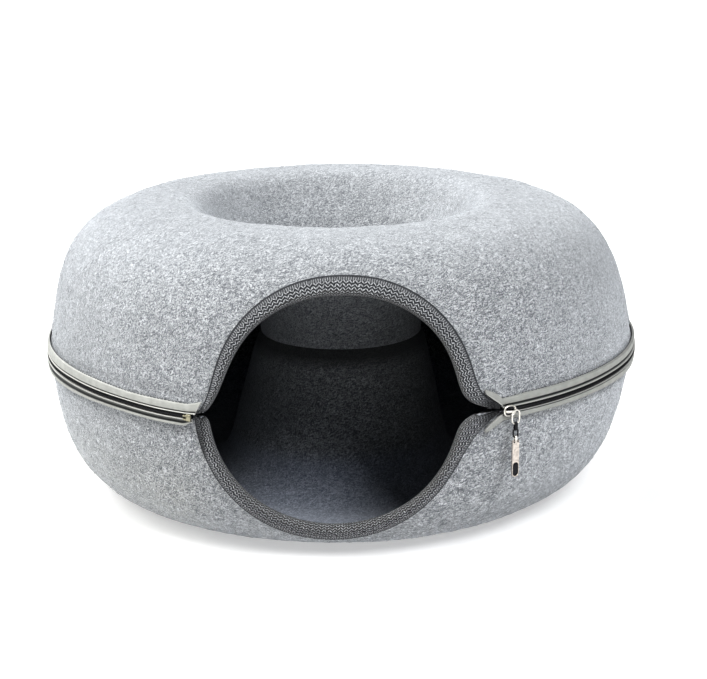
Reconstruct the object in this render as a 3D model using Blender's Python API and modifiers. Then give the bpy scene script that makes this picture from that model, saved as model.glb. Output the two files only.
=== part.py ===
"""Felt cat cave: a doughnut of moulded felt in two halves, zipped together round its side.

The upper half is a dome that dips into a central well.  The lower half is a bowl whose middle
rises as a hollow cone and tucks up inside the well.  Half of the round entrance is cut in each,
and the cut edges are bound with woven tape.  Units are metres, +Z is up, the entrance faces -Y,
and the origin is under the middle of the whole object's box, on the surface it stands on.
"""

import math

import bmesh
import bpy
from mathutils import Matrix, Vector

# ---------------------------------------------------------------- driving dimensions
FELT = 0.004  # wall of both halves
TURN_STEPS = 60  # facets round the doughnut
SIDE_CROWDING = 1.3  # above 1 the profile's points crowd towards the zip
AXIS_Y = -0.0092  # the doughnut's axis lies this far in front of the origin
ZIP_HEIGHT = 0.1197  # plane in which the halves meet
SEAM_HALF_GAP = 0.0026  # each felt edge stops this far from that plane
CLEAR = 0.0003  # between pieces that touch

# Outer skin of both halves, measured from the doughnut's axis
EDGE_RADIUS = 0.2470  # at the zip
EDGE_FLARE_HEIGHT = 0.0283  # how far from the zip the edges are drawn outwards

CROWN_HEIGHT = 0.2403
CROWN_RADIUS = 0.1356
UPPER_SIDE_RADIUS = 0.2417
UPPER_SIDE_POWER = 2.65
UPPER_LEAN = -0.0025  # sideways drift of the crown
WELL_END_RADIUS = 0.0648
WELL_END_HEIGHT = 0.1258
WELL_POWER = 1.6

LOWER_SIDE_RADIUS = 0.2438
LOWER_SIDE_POWER = 2.48
LOWER_LEAN = -0.0034  # sideways drift of the base
BASE_RADIUS = 0.1587  # outer edge of the flat that it stands on

# Hollow cone in the middle of the lower half: radii of its skin inside the well
CONE_FOOT_RADIUS = 0.0976  # where the straight cone would meet the floor
CONE_SHOULDER_RADIUS = 0.0684
CONE_SHOULDER_HEIGHT = 0.1180
CONE_FOOT_FILLET = 0.041
SHOULDER_FILLET = 0.0035
NECK_RADIUS = 0.0594
NECK_LOW = 0.1228
NECK_TOP = 0.1420
NECK_FILLET = 0.0068

# Entrance, seen from the front.  Each half edge is half a superellipse whose two ends are
# drawn out to the zip: (centre x, half width, height, power, left pull, its reach,
# right pull, its reach)
UPPER_CUT = (0.0006, 0.0894, 0.0920, 2.2, 0.0140, 0.0190, 0.0205, 0.0066)
LOWER_CUT = (-0.0064, 0.0945, 0.0942, 1.9, 0.0031, 0.0030, 0.0130, 0.0050)
UPPER_BINDING_EDGE = (0.0015, 0.0984, 0.1012, 2.2, 0.0114, 0.0100, 0.0330, 0.0070)
LOWER_BINDING_EDGE = (-0.0080, 0.1006, 0.1040, 1.9, 0.0005, 0.0040, 0.0272, 0.0143)
RIGHT_END = 0.1172  # the drawn-out right end stops here, at the slider's nose
CUT_END = 0.0024  # the cut's ends stop this far from the zip plane
CUT_STEPS = 36
END_CROWDING = 0.82  # 0 spaces the steps evenly, 1 would crowd them all at the ends
CUTTER_REACH = 0.012
CUTTER_FRONT = 0.36
CUTTER_BACK = 0.17

BINDING = 0.0012  # thickness of the woven tape
BINDING_END = 0.0005  # its ends stop this far from the zip plane
BINDING_EDGE_GAP = 0.0005
BINDING_INNER_GAP = 0.0008
BINDING_THINNING = 0.0004  # the outer leg is this much thinner at its free edge
BINDING_INNER_SHARE = 0.8  # width of the inner leg as a share of the outer one

# Zip
TAPE_LOW, TAPE_HIGH = 0.0022, 0.0084  # from the zip plane
TAPE_GAP = 0.0005  # to the felt
TAPE_THICKNESS = 0.0020
TAPE_CHAMFER = 0.0002  # at the edge beside the coil
TAPE_FELT_EDGE = (0.6, 0.0005)  # share of the thickness left there, and how far in
UPPER_TAPE_START, LOWER_TAPE_START = -25.9, -26.4  # degrees from the front
TAPE_END = 28.7
# The free tape ends turn away from the zip beside the bindings:
# (azimuth, lower edge, higher edge), the edges from the zip plane
UPPER_TAPE_TURN = (
    (28.4, 0.0046, 0.0098),
    (27.8, 0.0072, 0.0118),
    (27.0, 0.0097, 0.0137),
    (26.2, 0.0123, 0.0154),
    (25.5, 0.0148, 0.0170),
)
LOWER_TAPE_TURN = (
    (27.9, 0.0040, 0.0087),
    (27.0, 0.0066, 0.0110),
    (26.1, 0.0094, 0.0130),
    (25.4, 0.0122, 0.0146),
)
CHAIN_HALF_HEIGHT = 0.0019
CHAIN_INNER, CHAIN_OUTER = 0.2462, 0.2500
CHAIN_START, CHAIN_END = -26.4, 31.0
STOP_AZIMUTH = -27.2
STOP_SIZE = (0.0052, 0.0016, 0.0050)  # along the zip, outwards, up
METAL_BEVEL = 0.0004  # on the edges of the stop, the slider's plate and the tab

SLIDER_AZIMUTH = 30.1
SLIDER_DROP = 0.0004
SLIDER_LENGTH, SLIDER_WIDTH, SLIDER_PLATE = 0.0112, 0.0086, 0.0017
SLIDER_POST = (0.0030, 0.0042, 0.0026)  # along the zip, inwards, up
SLIDER_POST_X = -0.0030
SLIDER_SQUARENESS = 0.8  # 1 would make the plate a true ellipse
BAIL_SPAN, BAIL_RISE, BAIL_WIRE = 0.0078, 0.0028, 0.0005
WIRE = 0.00045  # radius of the rings of the pull
# The pull's pieces, seen from outside: a centre as (along the zip, up), and half sizes as
# (across, up) to the middle of the wire
RING_CENTRE = (0.0044, -0.0042)
RING_HALF = (0.0033, 0.0054)
CONNECTOR_HALF = (0.0011, 0.0031)
LINK_HALF = (0.0021, 0.0034)
EYE_HALF = (0.0011, 0.0019)
LINK_BITE = 0.0012  # two linked wires lie this far apart, centre to centre
TAB_WIDTH, TAB_LENGTH, TAB_THICKNESS = 0.0062, 0.0290, 0.0018
TAB_CORNER = 0.0010


# ---------------------------------------------------------------- scene and materials
def clear_scene():
    for old in list(bpy.data.objects):
        bpy.data.objects.remove(old, do_unlink=True)


def new_collection(name):
    collection = bpy.data.collections.new(name)
    bpy.context.scene.collection.children.link(collection)
    return collection


def new_material(name, colour, roughness, metallic=0.0):
    material = bpy.data.materials.new(name)
    material.use_nodes = True
    shader = material.node_tree.nodes["Principled BSDF"]
    shader.inputs["Base Color"].default_value = (*colour, 1.0)
    shader.inputs["Roughness"].default_value = roughness
    shader.inputs["Metallic"].default_value = metallic
    return material


def add_object(name, data, collection, material=None):
    obj = bpy.data.objects.new(name, data)
    collection.objects.link(obj)
    if material:
        obj.data.materials.append(material)
    return obj


def as_mesh_object(obj, collection, material):
    """A curve or a modified object as a plain closed mesh under the same name."""
    bpy.context.view_layer.update()
    graph = bpy.context.evaluated_depsgraph_get()
    mesh = bpy.data.meshes.new_from_object(obj.evaluated_get(graph))
    name = obj.name
    place = obj.matrix_world.copy()
    bpy.data.objects.remove(obj, do_unlink=True)
    solid = bmesh.new()
    solid.from_mesh(mesh)
    bmesh.ops.remove_doubles(solid, verts=solid.verts, dist=0.00001)
    solid.to_mesh(mesh)
    solid.free()
    mesh.materials.clear()
    made = add_object(name, mesh, collection, material)
    made.matrix_world = place
    return made


# ---------------------------------------------------------------- outer skin of the felt
def half_sizes(height):
    """Reach above or below the zip, top or base radius, side radius, power and lean."""
    if height >= ZIP_HEIGHT:
        reach = CROWN_HEIGHT - ZIP_HEIGHT
        return reach, CROWN_RADIUS, UPPER_SIDE_RADIUS, UPPER_SIDE_POWER, UPPER_LEAN
    return ZIP_HEIGHT, BASE_RADIUS, LOWER_SIDE_RADIUS, LOWER_SIDE_POWER, LOWER_LEAN


def side_radius(height):
    """Radius of the outer skin: a superellipse from the zip to the crown or the base."""
    reach, end_radius, radius, power, _ = half_sizes(height)
    away = abs(height - ZIP_HEIGHT)
    sine = min(1.0, away / reach) ** (power / 2)
    cosine = math.sqrt(max(0.0, 1.0 - sine * sine))
    flare = (EDGE_RADIUS - radius) * math.exp(-((away / EDGE_FLARE_HEIGHT) ** 2))
    return end_radius + (radius - end_radius) * cosine ** (2 / power) + flare


def skin_point(x, height, outwards=0.0):
    """Point of the front skin seen at x and this height, moved outwards along its normal."""
    reach, _, _, _, lean = half_sizes(height)
    drift = lean * abs(height - ZIP_HEIGHT) / reach
    radius = side_radius(height)
    across = x - drift
    depth = math.sqrt(radius * radius - across * across)
    step = 0.0002
    slope = (side_radius(height + step) - side_radius(height - step)) / (2 * step)
    normal = Vector((across / radius, -depth / radius, -slope)).normalized()
    return Vector((x, -depth, height)) + normal * outwards


def upper_profile():
    """Well end, well, crown and side, as (radius, height) down to the zip."""
    points = []
    well_steps, side_steps = 6, 10
    for i in range(well_steps):
        angle = math.pi / 2 * i / well_steps
        inwards = (CROWN_RADIUS - WELL_END_RADIUS) * math.cos(angle) ** (2 / WELL_POWER)
        rise = (CROWN_HEIGHT - WELL_END_HEIGHT) * math.sin(angle) ** (2 / WELL_POWER)
        points.append((CROWN_RADIUS - inwards, WELL_END_HEIGHT + rise))
    for i in range(side_steps + 1):
        angle = math.pi / 2 * (1 - i / side_steps) ** SIDE_CROWDING
        rise = (CROWN_HEIGHT - ZIP_HEIGHT) * math.sin(angle) ** (2 / UPPER_SIDE_POWER)
        height = ZIP_HEIGHT + max(rise, SEAM_HALF_GAP)
        points.append((side_radius(height), height))
    return points


def rounded(corner, before, after, radius, steps):
    """Points of an arc of this radius that rounds the corner between two straight lines."""
    corner, before, after = Vector(corner), Vector(before), Vector(after)
    back, on = (before - corner).normalized(), (after - corner).normalized()
    half_angle = back.angle(on) / 2
    centre = corner + (back + on).normalized() * radius / math.sin(half_angle)
    start = corner + back * radius / math.tan(half_angle) - centre
    end = corner + on * radius / math.tan(half_angle) - centre
    sweep = start.angle_signed(end)
    turned = [Matrix.Rotation(-sweep * i / steps, 2) @ start for i in range(steps + 1)]
    return [tuple(centre + point) for point in turned]


def lower_profile():
    """Side, base and the hollow cone with its neck, as (radius, height) from the zip."""
    points = []
    side_steps = 10
    for i in range(side_steps + 1):
        angle = math.pi / 2 * (i / side_steps) ** SIDE_CROWDING
        drop = ZIP_HEIGHT * math.sin(angle) ** (2 / LOWER_SIDE_POWER)
        height = ZIP_HEIGHT - max(drop, SEAM_HALF_GAP)
        points.append((side_radius(height), height))
    base = (BASE_RADIUS, 0.0)
    foot = (CONE_FOOT_RADIUS, 0.0)
    shoulder = (CONE_SHOULDER_RADIUS, CONE_SHOULDER_HEIGHT)
    neck_low = (NECK_RADIUS, NECK_LOW)
    neck_top = (NECK_RADIUS, NECK_TOP)
    points[-1] = base
    points += rounded(foot, base, shoulder, CONE_FOOT_FILLET, 4)
    points += rounded(shoulder, foot, neck_low, SHOULDER_FILLET, 2)
    points += rounded(neck_low, shoulder, neck_top, NECK_FILLET, 2)
    points.append(neck_top)
    return points


def turned_half(name, profile, lean_matrix, cutter, collection, material):
    """A profile turned about the axis, leaned, thickened inwards and cut for the entrance."""
    mesh = bpy.data.meshes.new(name)
    points = [(radius, 0.0, height) for radius, height in profile]
    mesh.from_pydata(points, [(i, i + 1) for i in range(len(points) - 1)], [])
    obj = add_object(name, mesh, collection, material)
    screw = obj.modifiers.new("Turn", "SCREW")
    screw.steps = screw.render_steps = TURN_STEPS
    screw.use_merge_vertices = True
    screw.merge_threshold = 0.0001
    obj = as_mesh_object(obj, collection, material)
    obj.data.transform(lean_matrix)
    wall = obj.modifiers.new("Felt", "SOLIDIFY")
    wall.thickness = FELT
    wall.offset = -1.0
    wall.use_even_offset = True
    cut = obj.modifiers.new("Entrance", "BOOLEAN")
    cut.object = cutter
    cut.solver = "EXACT"
    smooth(obj)
    return obj


def smooth(obj, angle=40.0):
    obj.data.shade_smooth()
    obj.data.set_sharp_from_angle(angle=math.radians(angle))


def lean(amount, reach):
    """Shears sideways by this amount over the reach above or below the zip plane."""
    to_zip = Matrix.Translation((0, 0, -ZIP_HEIGHT))
    shear = Matrix.Shear("XY", 4, (amount / reach, 0.0))
    return to_zip.inverted() @ shear @ to_zip


# ---------------------------------------------------------------- entrance and its binding
def half_outline(shape, upwards, end_gap):
    """Half of the entrance's outline as (x, height), from the right end to the left end."""
    centre, half_width, rise, power, left_pull, left_reach, right_pull, right_reach = shape
    points = []
    for i in range(CUT_STEPS + 1):
        share = i / CUT_STEPS
        crowded = END_CROWDING * math.sin(2 * math.pi * share) / (2 * math.pi)
        angle = math.pi * (share - crowded)
        cosine, sine = math.cos(angle), math.sin(angle)
        x = centre + math.copysign(half_width * abs(cosine) ** (2 / power), cosine)
        away = rise * max(0.0, sine) ** (2 / power)
        if cosine > 0:
            x = min(x + right_pull * math.exp(-away / right_reach), RIGHT_END)
        else:
            x -= left_pull * math.exp(-away / left_reach)
        away = end_gap + away * (1 - end_gap / rise)
        points.append((x, ZIP_HEIGHT + away if upwards else ZIP_HEIGHT - away))
    return points


def loft(name, rings, collection, material):
    """Skins a row of rings that have equal counts of points, and caps both ends."""
    solid = bmesh.new()
    rows = [[solid.verts.new(point) for point in ring] for ring in rings]
    count = len(rows[0])
    for low, high in zip(rows, rows[1:]):
        for i in range(count):
            j = (i + 1) % count
            solid.faces.new((low[i], low[j], high[j], high[i]))
    solid.faces.new(rows[0])
    solid.faces.new(rows[-1])
    bmesh.ops.recalc_face_normals(solid, faces=solid.faces)
    mesh = bpy.data.meshes.new(name)
    solid.to_mesh(mesh)
    solid.free()
    return add_object(name, mesh, collection, material)


def entrance_cutter(collection):
    """A plug whose sides run square to the felt along the entrance's outline."""
    upper = half_outline(UPPER_CUT, True, CUT_END)
    lower = half_outline(LOWER_CUT, False, CUT_END)
    outline = upper + lower[::-1]
    outer = [skin_point(x, height, CUTTER_REACH) for x, height in outline]
    inner = [skin_point(x, height, -CUTTER_REACH) for x, height in outline]
    solid = bmesh.new()
    front = solid.verts.new((0.0, -CUTTER_FRONT, ZIP_HEIGHT))
    back = solid.verts.new((0.0, -CUTTER_BACK, ZIP_HEIGHT))
    outer_row = [solid.verts.new(point) for point in outer]
    inner_row = [solid.verts.new(point) for point in inner]
    count = len(outline)
    for i in range(count):
        j = (i + 1) % count
        solid.faces.new((outer_row[i], outer_row[j], inner_row[j], inner_row[i]))
        solid.faces.new((front, outer_row[j], outer_row[i]))
        solid.faces.new((back, inner_row[i], inner_row[j]))
    bmesh.ops.recalc_face_normals(solid, faces=solid.faces)
    mesh = bpy.data.meshes.new("entrance_cutter")
    solid.to_mesh(mesh)
    solid.free()
    cutter = add_object("entrance_cutter", mesh, collection)
    cutter.hide_render = True
    cutter.display_type = "WIRE"
    return cutter


def outline_normals(outline):
    """Unit directions in the front view, square to the outline and away from the opening."""
    normals = []
    last = len(outline) - 1
    for i in range(last + 1):
        before, after = Vector(outline[max(i - 1, 0)]), Vector(outline[min(i + 1, last)])
        along = (after - before).normalized()
        upwards = outline[last // 2][1] > ZIP_HEIGHT
        normals.append(Vector((along.y, -along.x)) if upwards else Vector((-along.y, along.x)))
    return normals


def binding(name, cut_shape, edge_shape, upwards, collection, material):
    """Tape folded over the cut edge: an outer leg, the fold and a shorter inner leg."""
    cut = half_outline(cut_shape, upwards, CUT_END)
    edge = half_outline(edge_shape, upwards, BINDING_END)
    outside, inside = BINDING_EDGE_GAP + BINDING, -FELT - BINDING_INNER_GAP - BINDING
    rings = []
    for near, far, away in zip(cut, edge, outline_normals(cut)):
        near, far = Vector(near), Vector(far)
        middle = near.lerp(far, 0.5)
        inner_far = near.lerp(far, BINDING_INNER_SHARE)
        fold_in = near - away * BINDING_EDGE_GAP
        fold_out = near - away * (BINDING_EDGE_GAP + BINDING)
        section = (
            (far, outside - BINDING_THINNING),
            (middle, outside),
            (near, outside),
            (fold_out, 0.0),
            (fold_out, -FELT),
            (near, inside),
            (inner_far, inside),
            (inner_far, inside + BINDING),
            (fold_in, inside + BINDING),
            (fold_in, BINDING_EDGE_GAP),
            (middle, BINDING_EDGE_GAP),
            (far, BINDING_EDGE_GAP),
        )
        rings.append([skin_point(place.x, place.y, depth) for place, depth in section])
    obj = loft(name, rings, collection, material)
    smooth(obj)
    return obj


# ---------------------------------------------------------------- zip
def ring_place(azimuth, radius, height):
    """Point at this azimuth in degrees from the front towards +X."""
    angle = math.radians(azimuth)
    return Vector((radius * math.sin(angle), -radius * math.cos(angle), height))


def long_way_round(start, end):
    """Azimuths from the end to the start, round by the back, about a facet apart."""
    sweep = 360.0 - (end - start)
    steps = round(sweep / 360.0 * TURN_STEPS)
    return [end + sweep * i / steps for i in range(steps + 1)]


def tape_section(low, high, sign):
    """The zip tape's visible strip between two heights: flat on the felt, rounded in front."""
    felt_edge_share, felt_edge_in = TAPE_FELT_EDGE
    shape = (
        (0.0, low),
        (TAPE_THICKNESS, low + TAPE_CHAMFER),
        (TAPE_THICKNESS, (low + high) / 2),
        (TAPE_THICKNESS * felt_edge_share, high - felt_edge_in),
        (0.0, high),
    )
    section = []
    for outwards, away in shape:
        height = ZIP_HEIGHT + sign * away
        section.append((side_radius(height) + TAPE_GAP + outwards, height))
    return section


def zip_tape(name, sign, start, turn, collection, material):
    """A strip along the zip whose free end turns away beside the binding."""
    stations = [(azimuth, TAPE_LOW, TAPE_HIGH) for azimuth in long_way_round(start, TAPE_END)]
    stations = list(turn[::-1]) + stations
    rings = []
    for azimuth, low, high in stations:
        section = tape_section(low, high, sign)
        rings.append([ring_place(azimuth, radius, height) for radius, height in section])
    obj = loft(name, rings, collection, material)
    smooth(obj)
    return obj


def zip_chain(collection, material):
    """The two rows of meshed coil as one band between the tapes."""
    low, high = ZIP_HEIGHT - CHAIN_HALF_HEIGHT, ZIP_HEIGHT + CHAIN_HALF_HEIGHT
    section = ((CHAIN_INNER, low), (CHAIN_OUTER, low), (CHAIN_OUTER, high), (CHAIN_INNER, high))
    rings = []
    for azimuth in long_way_round(CHAIN_START, CHAIN_END):
        rings.append([ring_place(azimuth, radius, height) for radius, height in section])
    obj = loft("zip_chain", rings, collection, material)
    smooth(obj)
    return obj


def seat(obj, azimuth, height, depth=0.0):
    """Stands a small piece on the chain, its own -Y facing outwards."""
    obj.location = ring_place(azimuth, CHAIN_OUTER + depth, height)
    obj.rotation_euler = (0.0, 0.0, math.radians(azimuth))
    return obj


def plate(name, outline, thickness, collection, material):
    """A flat outline in the XZ plane, extruded along Y about its middle and bevelled."""
    curve = bpy.data.curves.new(name, "CURVE")
    curve.dimensions = "2D"
    curve.fill_mode = "BOTH"
    curve.extrude = thickness / 2
    spline = curve.splines.new("POLY")
    spline.points.add(len(outline) - 1)
    for point, (x, z) in zip(spline.points, outline):
        point.co = (x, z, 0.0, 1.0)
    spline.use_cyclic_u = True
    obj = add_object(name, curve, collection)
    obj = as_mesh_object(obj, collection, material)
    obj.data.transform(Matrix.Rotation(math.pi / 2, 4, "X"))
    edge = obj.modifiers.new("Edge", "BEVEL")
    edge.width = METAL_BEVEL
    edge.segments = 1
    edge.limit_method = "ANGLE"
    edge.angle_limit = math.radians(60)
    return obj


def wire_path(name, points, radius, cyclic, collection, material):
    """A round wire along the points."""
    curve = bpy.data.curves.new(name, "CURVE")
    curve.dimensions = "3D"
    curve.bevel_depth = radius
    curve.bevel_resolution = 2
    curve.use_fill_caps = True
    spline = curve.splines.new("POLY")
    spline.points.add(len(points) - 1)
    for point, place in zip(spline.points, points):
        point.co = (*place, 1.0)
    spline.use_cyclic_u = cyclic
    obj = add_object(name, curve, collection)
    return as_mesh_object(obj, collection, material)


def oval(half_across, half_up, centre, edgewise, steps=16):
    """A long loop with half-round ends, in the XZ plane or, edgewise, in the YZ plane."""
    centre_x, centre_y, centre_z = centre
    straight = max(half_up - half_across, 0.0)
    points = []
    for i in range(steps):
        angle = 2 * math.pi * (i + 0.5) / steps
        across, up = half_across * math.cos(angle), min(half_across, half_up) * math.sin(angle)
        up += math.copysign(straight, up)
        if edgewise:
            points.append((centre_x, centre_y + across, centre_z + up))
        else:
            points.append((centre_x + across, centre_y, centre_z + up))
    return points


def joined(base, extra, collection, material):
    """The union of two meshes as one object, under the first one's name."""
    union = base.modifiers.new("Union", "BOOLEAN")
    union.operation = "UNION"
    union.solver = "EXACT"
    union.object = extra
    whole = as_mesh_object(base, collection, material)
    bpy.data.objects.remove(extra, do_unlink=True)
    return whole


def slider(collection, material):
    """Oval top plate, the bail bridging it, and the post between the two tapes."""
    outline_steps, bail_steps = 20, 10
    outline = []
    for i in range(outline_steps):
        angle = 2 * math.pi * i / outline_steps
        cosine, sine = math.cos(angle), math.sin(angle)
        x = math.copysign(abs(cosine) ** SLIDER_SQUARENESS, cosine) * SLIDER_LENGTH / 2
        z = math.copysign(abs(sine) ** SLIDER_SQUARENESS, sine) * SLIDER_WIDTH / 2
        outline.append((x, z))
    body = plate("zip_slider", outline, SLIDER_PLATE, collection, material)
    plate_middle = -CLEAR - SLIDER_PLATE / 2
    body.data.transform(Matrix.Translation((0, plate_middle, 0)))
    bpy.ops.mesh.primitive_cube_add(size=1.0)
    post = bpy.context.object
    post_y = SLIDER_POST[1] / 2 - SLIDER_PLATE / 2
    post_place = Matrix.Translation((SLIDER_POST_X, post_y, 0))
    post.data.transform(post_place @ Matrix.Diagonal((*SLIDER_POST, 1.0)))
    body = joined(body, post, collection, material)
    surface = -CLEAR - SLIDER_PLATE + BAIL_WIRE / 2
    path = []
    for i in range(bail_steps + 1):
        angle = math.pi * i / bail_steps
        lift = BAIL_RISE * math.sqrt(max(0.0, math.sin(angle)))
        path.append((-math.cos(angle) * BAIL_SPAN / 2, surface - lift, 0.0))
    bail = wire_path("bail", path, BAIL_WIRE, False, collection, material)
    return joined(body, bail, collection, material)


def pull(collection, steel, dark):
    """Ring, connector, link and tab, hanging from the bail in a straight line."""
    ring_x, ring_z = RING_CENTRE
    front = -CLEAR - SLIDER_PLATE - CLEAR - WIRE
    connector_z = ring_z - RING_HALF[1] + LINK_BITE - CONNECTOR_HALF[1]
    link_z = connector_z - CONNECTOR_HALF[1] + LINK_BITE - LINK_HALF[1]
    eye_z = link_z - LINK_HALF[1] + LINK_BITE - EYE_HALF[1]
    ring_path = oval(*RING_HALF, (ring_x, front, ring_z), False)
    connector_path = oval(*CONNECTOR_HALF, (ring_x, front, connector_z), True)
    link_path = oval(*LINK_HALF, (ring_x, front, link_z), False)
    eye_path = oval(*EYE_HALF, (ring_x, front, eye_z), True)
    ring = wire_path("pull_ring", ring_path, WIRE, True, collection, steel)
    connector = wire_path("pull_connector", connector_path, WIRE, True, collection, dark)
    link = wire_path("pull_link", link_path, WIRE, True, collection, steel)
    tab_top = eye_z - EYE_HALF[1] + WIRE
    half, corner = TAB_WIDTH / 2, TAB_CORNER
    outline = [(half, -corner), (half - corner, 0.0), (corner - half, 0.0), (-half, -corner)]
    steps = 8
    for i in range(steps + 1):
        angle = math.pi + math.pi * i / steps
        outline.append((half * math.cos(angle), half * math.sin(angle) + half - TAB_LENGTH))
    tab = plate("pull_tab", outline, TAB_THICKNESS, collection, steel)
    tab.data.transform(Matrix.Translation((ring_x, front, tab_top)))
    eye = wire_path("tab_eye", eye_path, WIRE, True, collection, steel)
    tab = joined(tab, eye, collection, steel)
    return [ring, connector, link, tab]


def end_stop(collection, material):
    """Folded brass piece over the last teeth, between the two tapes."""
    bpy.ops.mesh.primitive_cube_add(size=1.0)
    block = bpy.context.object
    block.name = "zip_end_stop"
    for other in list(block.users_collection):
        other.objects.unlink(block)
    collection.objects.link(block)
    block.data.transform(Matrix.Diagonal((*STOP_SIZE, 1.0)))
    block.data.materials.append(material)
    edge = block.modifiers.new("Edge", "BEVEL")
    edge.width = METAL_BEVEL
    edge.segments = 2
    return block


# ---------------------------------------------------------------- the whole object
def build():
    clear_scene()
    pieces = new_collection("felt_cat_cave")
    cutters = new_collection("cutters")
    felt = new_material("felt", (0.55, 0.58, 0.62), 0.95)
    woven = new_material("woven_binding", (0.12, 0.12, 0.13), 0.8)
    tape = new_material("zip_tape", (0.45, 0.46, 0.43), 0.7)
    coil = new_material("zip_coil", (0.02, 0.02, 0.02), 0.5)
    steel = new_material("nickel", (0.75, 0.72, 0.69), 0.2, 1.0)
    dark = new_material("dark_nickel", (0.08, 0.08, 0.08), 0.3, 1.0)
    brass = new_material("brass", (0.60, 0.50, 0.28), 0.35, 1.0)

    cutter = entrance_cutter(cutters)
    upper_lean = lean(UPPER_LEAN, CROWN_HEIGHT - ZIP_HEIGHT)
    lower_lean = lean(-LOWER_LEAN, ZIP_HEIGHT)
    made = [
        turned_half("upper_shell", upper_profile(), upper_lean, cutter, pieces, felt),
        turned_half("lower_shell", lower_profile(), lower_lean, cutter, pieces, felt),
        binding("upper_binding", UPPER_CUT, UPPER_BINDING_EDGE, True, pieces, woven),
        binding("lower_binding", LOWER_CUT, LOWER_BINDING_EDGE, False, pieces, woven),
        zip_tape("zip_tape_upper", 1, UPPER_TAPE_START, UPPER_TAPE_TURN, pieces, tape),
        zip_tape("zip_tape_lower", -1, LOWER_TAPE_START, LOWER_TAPE_TURN, pieces, tape),
        zip_chain(pieces, coil),
    ]
    stop = seat(end_stop(pieces, brass), STOP_AZIMUTH, ZIP_HEIGHT, CLEAR + STOP_SIZE[1] / 2)
    body = seat(slider(pieces, steel), SLIDER_AZIMUTH, ZIP_HEIGHT - SLIDER_DROP)
    made += [stop, body]
    for piece in pull(pieces, steel, dark):
        made.append(seat(piece, SLIDER_AZIMUTH, ZIP_HEIGHT - SLIDER_DROP))

    axis = bpy.data.objects.new("doughnut_axis", None)
    pieces.objects.link(axis)
    for obj in made:
        obj.parent = axis
    cutter.parent = axis
    axis.location = (0.0, AXIS_Y, 0.0)


build()
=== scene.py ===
"""Looks of the felt cat cave: a doughnut of moulded grey felt in two halves, zipped together
round its side, with a round entrance bound in woven tape.

Everything is in metres in the frame of the solids: +Z is up, the entrance faces -Y, and the
origin is on the floor under the middle of the whole object's box.
"""

import logging
import math
from collections.abc import Sequence
from dataclasses import dataclass, field
from enum import Enum

import bpy
import numpy as np
from mathutils import Matrix, Vector

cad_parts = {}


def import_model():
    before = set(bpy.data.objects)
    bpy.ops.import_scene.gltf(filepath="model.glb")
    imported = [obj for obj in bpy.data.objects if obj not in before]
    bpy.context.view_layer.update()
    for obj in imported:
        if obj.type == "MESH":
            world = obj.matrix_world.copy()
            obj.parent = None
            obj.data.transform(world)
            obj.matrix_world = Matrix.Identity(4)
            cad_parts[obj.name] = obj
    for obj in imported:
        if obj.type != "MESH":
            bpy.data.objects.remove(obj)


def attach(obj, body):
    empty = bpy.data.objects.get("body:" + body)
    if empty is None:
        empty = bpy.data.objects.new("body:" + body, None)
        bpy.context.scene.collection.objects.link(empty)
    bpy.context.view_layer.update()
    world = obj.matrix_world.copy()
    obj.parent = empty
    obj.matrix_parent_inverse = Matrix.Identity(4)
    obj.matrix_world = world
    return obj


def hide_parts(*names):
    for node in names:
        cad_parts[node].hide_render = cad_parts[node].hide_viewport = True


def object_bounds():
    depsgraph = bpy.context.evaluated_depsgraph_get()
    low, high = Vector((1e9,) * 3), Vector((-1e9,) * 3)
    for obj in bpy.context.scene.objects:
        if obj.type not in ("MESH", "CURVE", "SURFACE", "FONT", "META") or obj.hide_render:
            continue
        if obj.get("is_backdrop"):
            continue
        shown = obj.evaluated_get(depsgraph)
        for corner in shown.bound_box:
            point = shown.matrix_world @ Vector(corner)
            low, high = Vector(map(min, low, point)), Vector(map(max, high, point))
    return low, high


log = logging.getLogger("felt_cat_cave")
Array = np.ndarray
Pair = tuple[float, float]
Triple = tuple[float, float, float]
Material = bpy.types.Material
Piece = bpy.types.Object
Socket = bpy.types.NodeSocket

PHOTO_SIZE = (707, 679)
QUARTER_TURN = np.linspace(0.0, np.pi / 2, 400)
WHITE = (1.0, 1.0, 1.0)


# ------------------------------------------------------------------ arrays and meshes
def smooth_step(value: Array, low: float | Array, high: float | Array) -> Array:
    """Rises smoothly from 0 at low to 1 at high: 3t^2 - 2t^3.

    Args:
        value: Where to work it out.
        low: Value that gives 0.
        high: Value that gives 1.

    Returns:
        An array of the same shape, from 0 to 1.
    """
    share = np.clip((value - low) / (high - low), 0.0, 1.0)
    return share * share * (3.0 - 2.0 * share)


def bell(value: Array, middle: float, width: float) -> Array:
    """A smooth bump of height 1: exp(-((value - middle) / width)^2)."""
    return np.exp(-(((value - middle) / width) ** 2))


def together(*parts: Array | float) -> Array:
    """Arrays and numbers spread to one shape and put side by side along a new last axis."""
    return np.stack(np.broadcast_arrays(*parts), axis=-1)


def ring_angles(count: int) -> Array:
    """Angles of evenly spaced points round a ring."""
    return np.arange(count) * 2 * np.pi / count


def squared_off(wave: Array, power: float) -> Array:
    """A cosine or sine raised to a power, its sign kept; powers under 1 square a circle off."""
    return np.sign(wave) * np.abs(wave) ** power


def unit(vectors: Array) -> Array:
    """Vectors divided by their lengths."""
    return vectors / np.maximum(np.linalg.norm(vectors, axis=-1, keepdims=True), 1e-12)


def tangents(path: Array) -> Array:
    """Unit directions along a path, by central differences over its rows."""
    return unit(np.gradient(path, axis=-2))


def run_along(path: Array) -> Array:
    """Distance along a path at each of its rows: the sum of the steps up to it."""
    steps = np.linalg.norm(np.diff(path, axis=-2), axis=-1)
    return np.concatenate([np.zeros((*steps.shape[:-1], 1)), np.cumsum(steps, axis=-1)], axis=-1)


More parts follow.
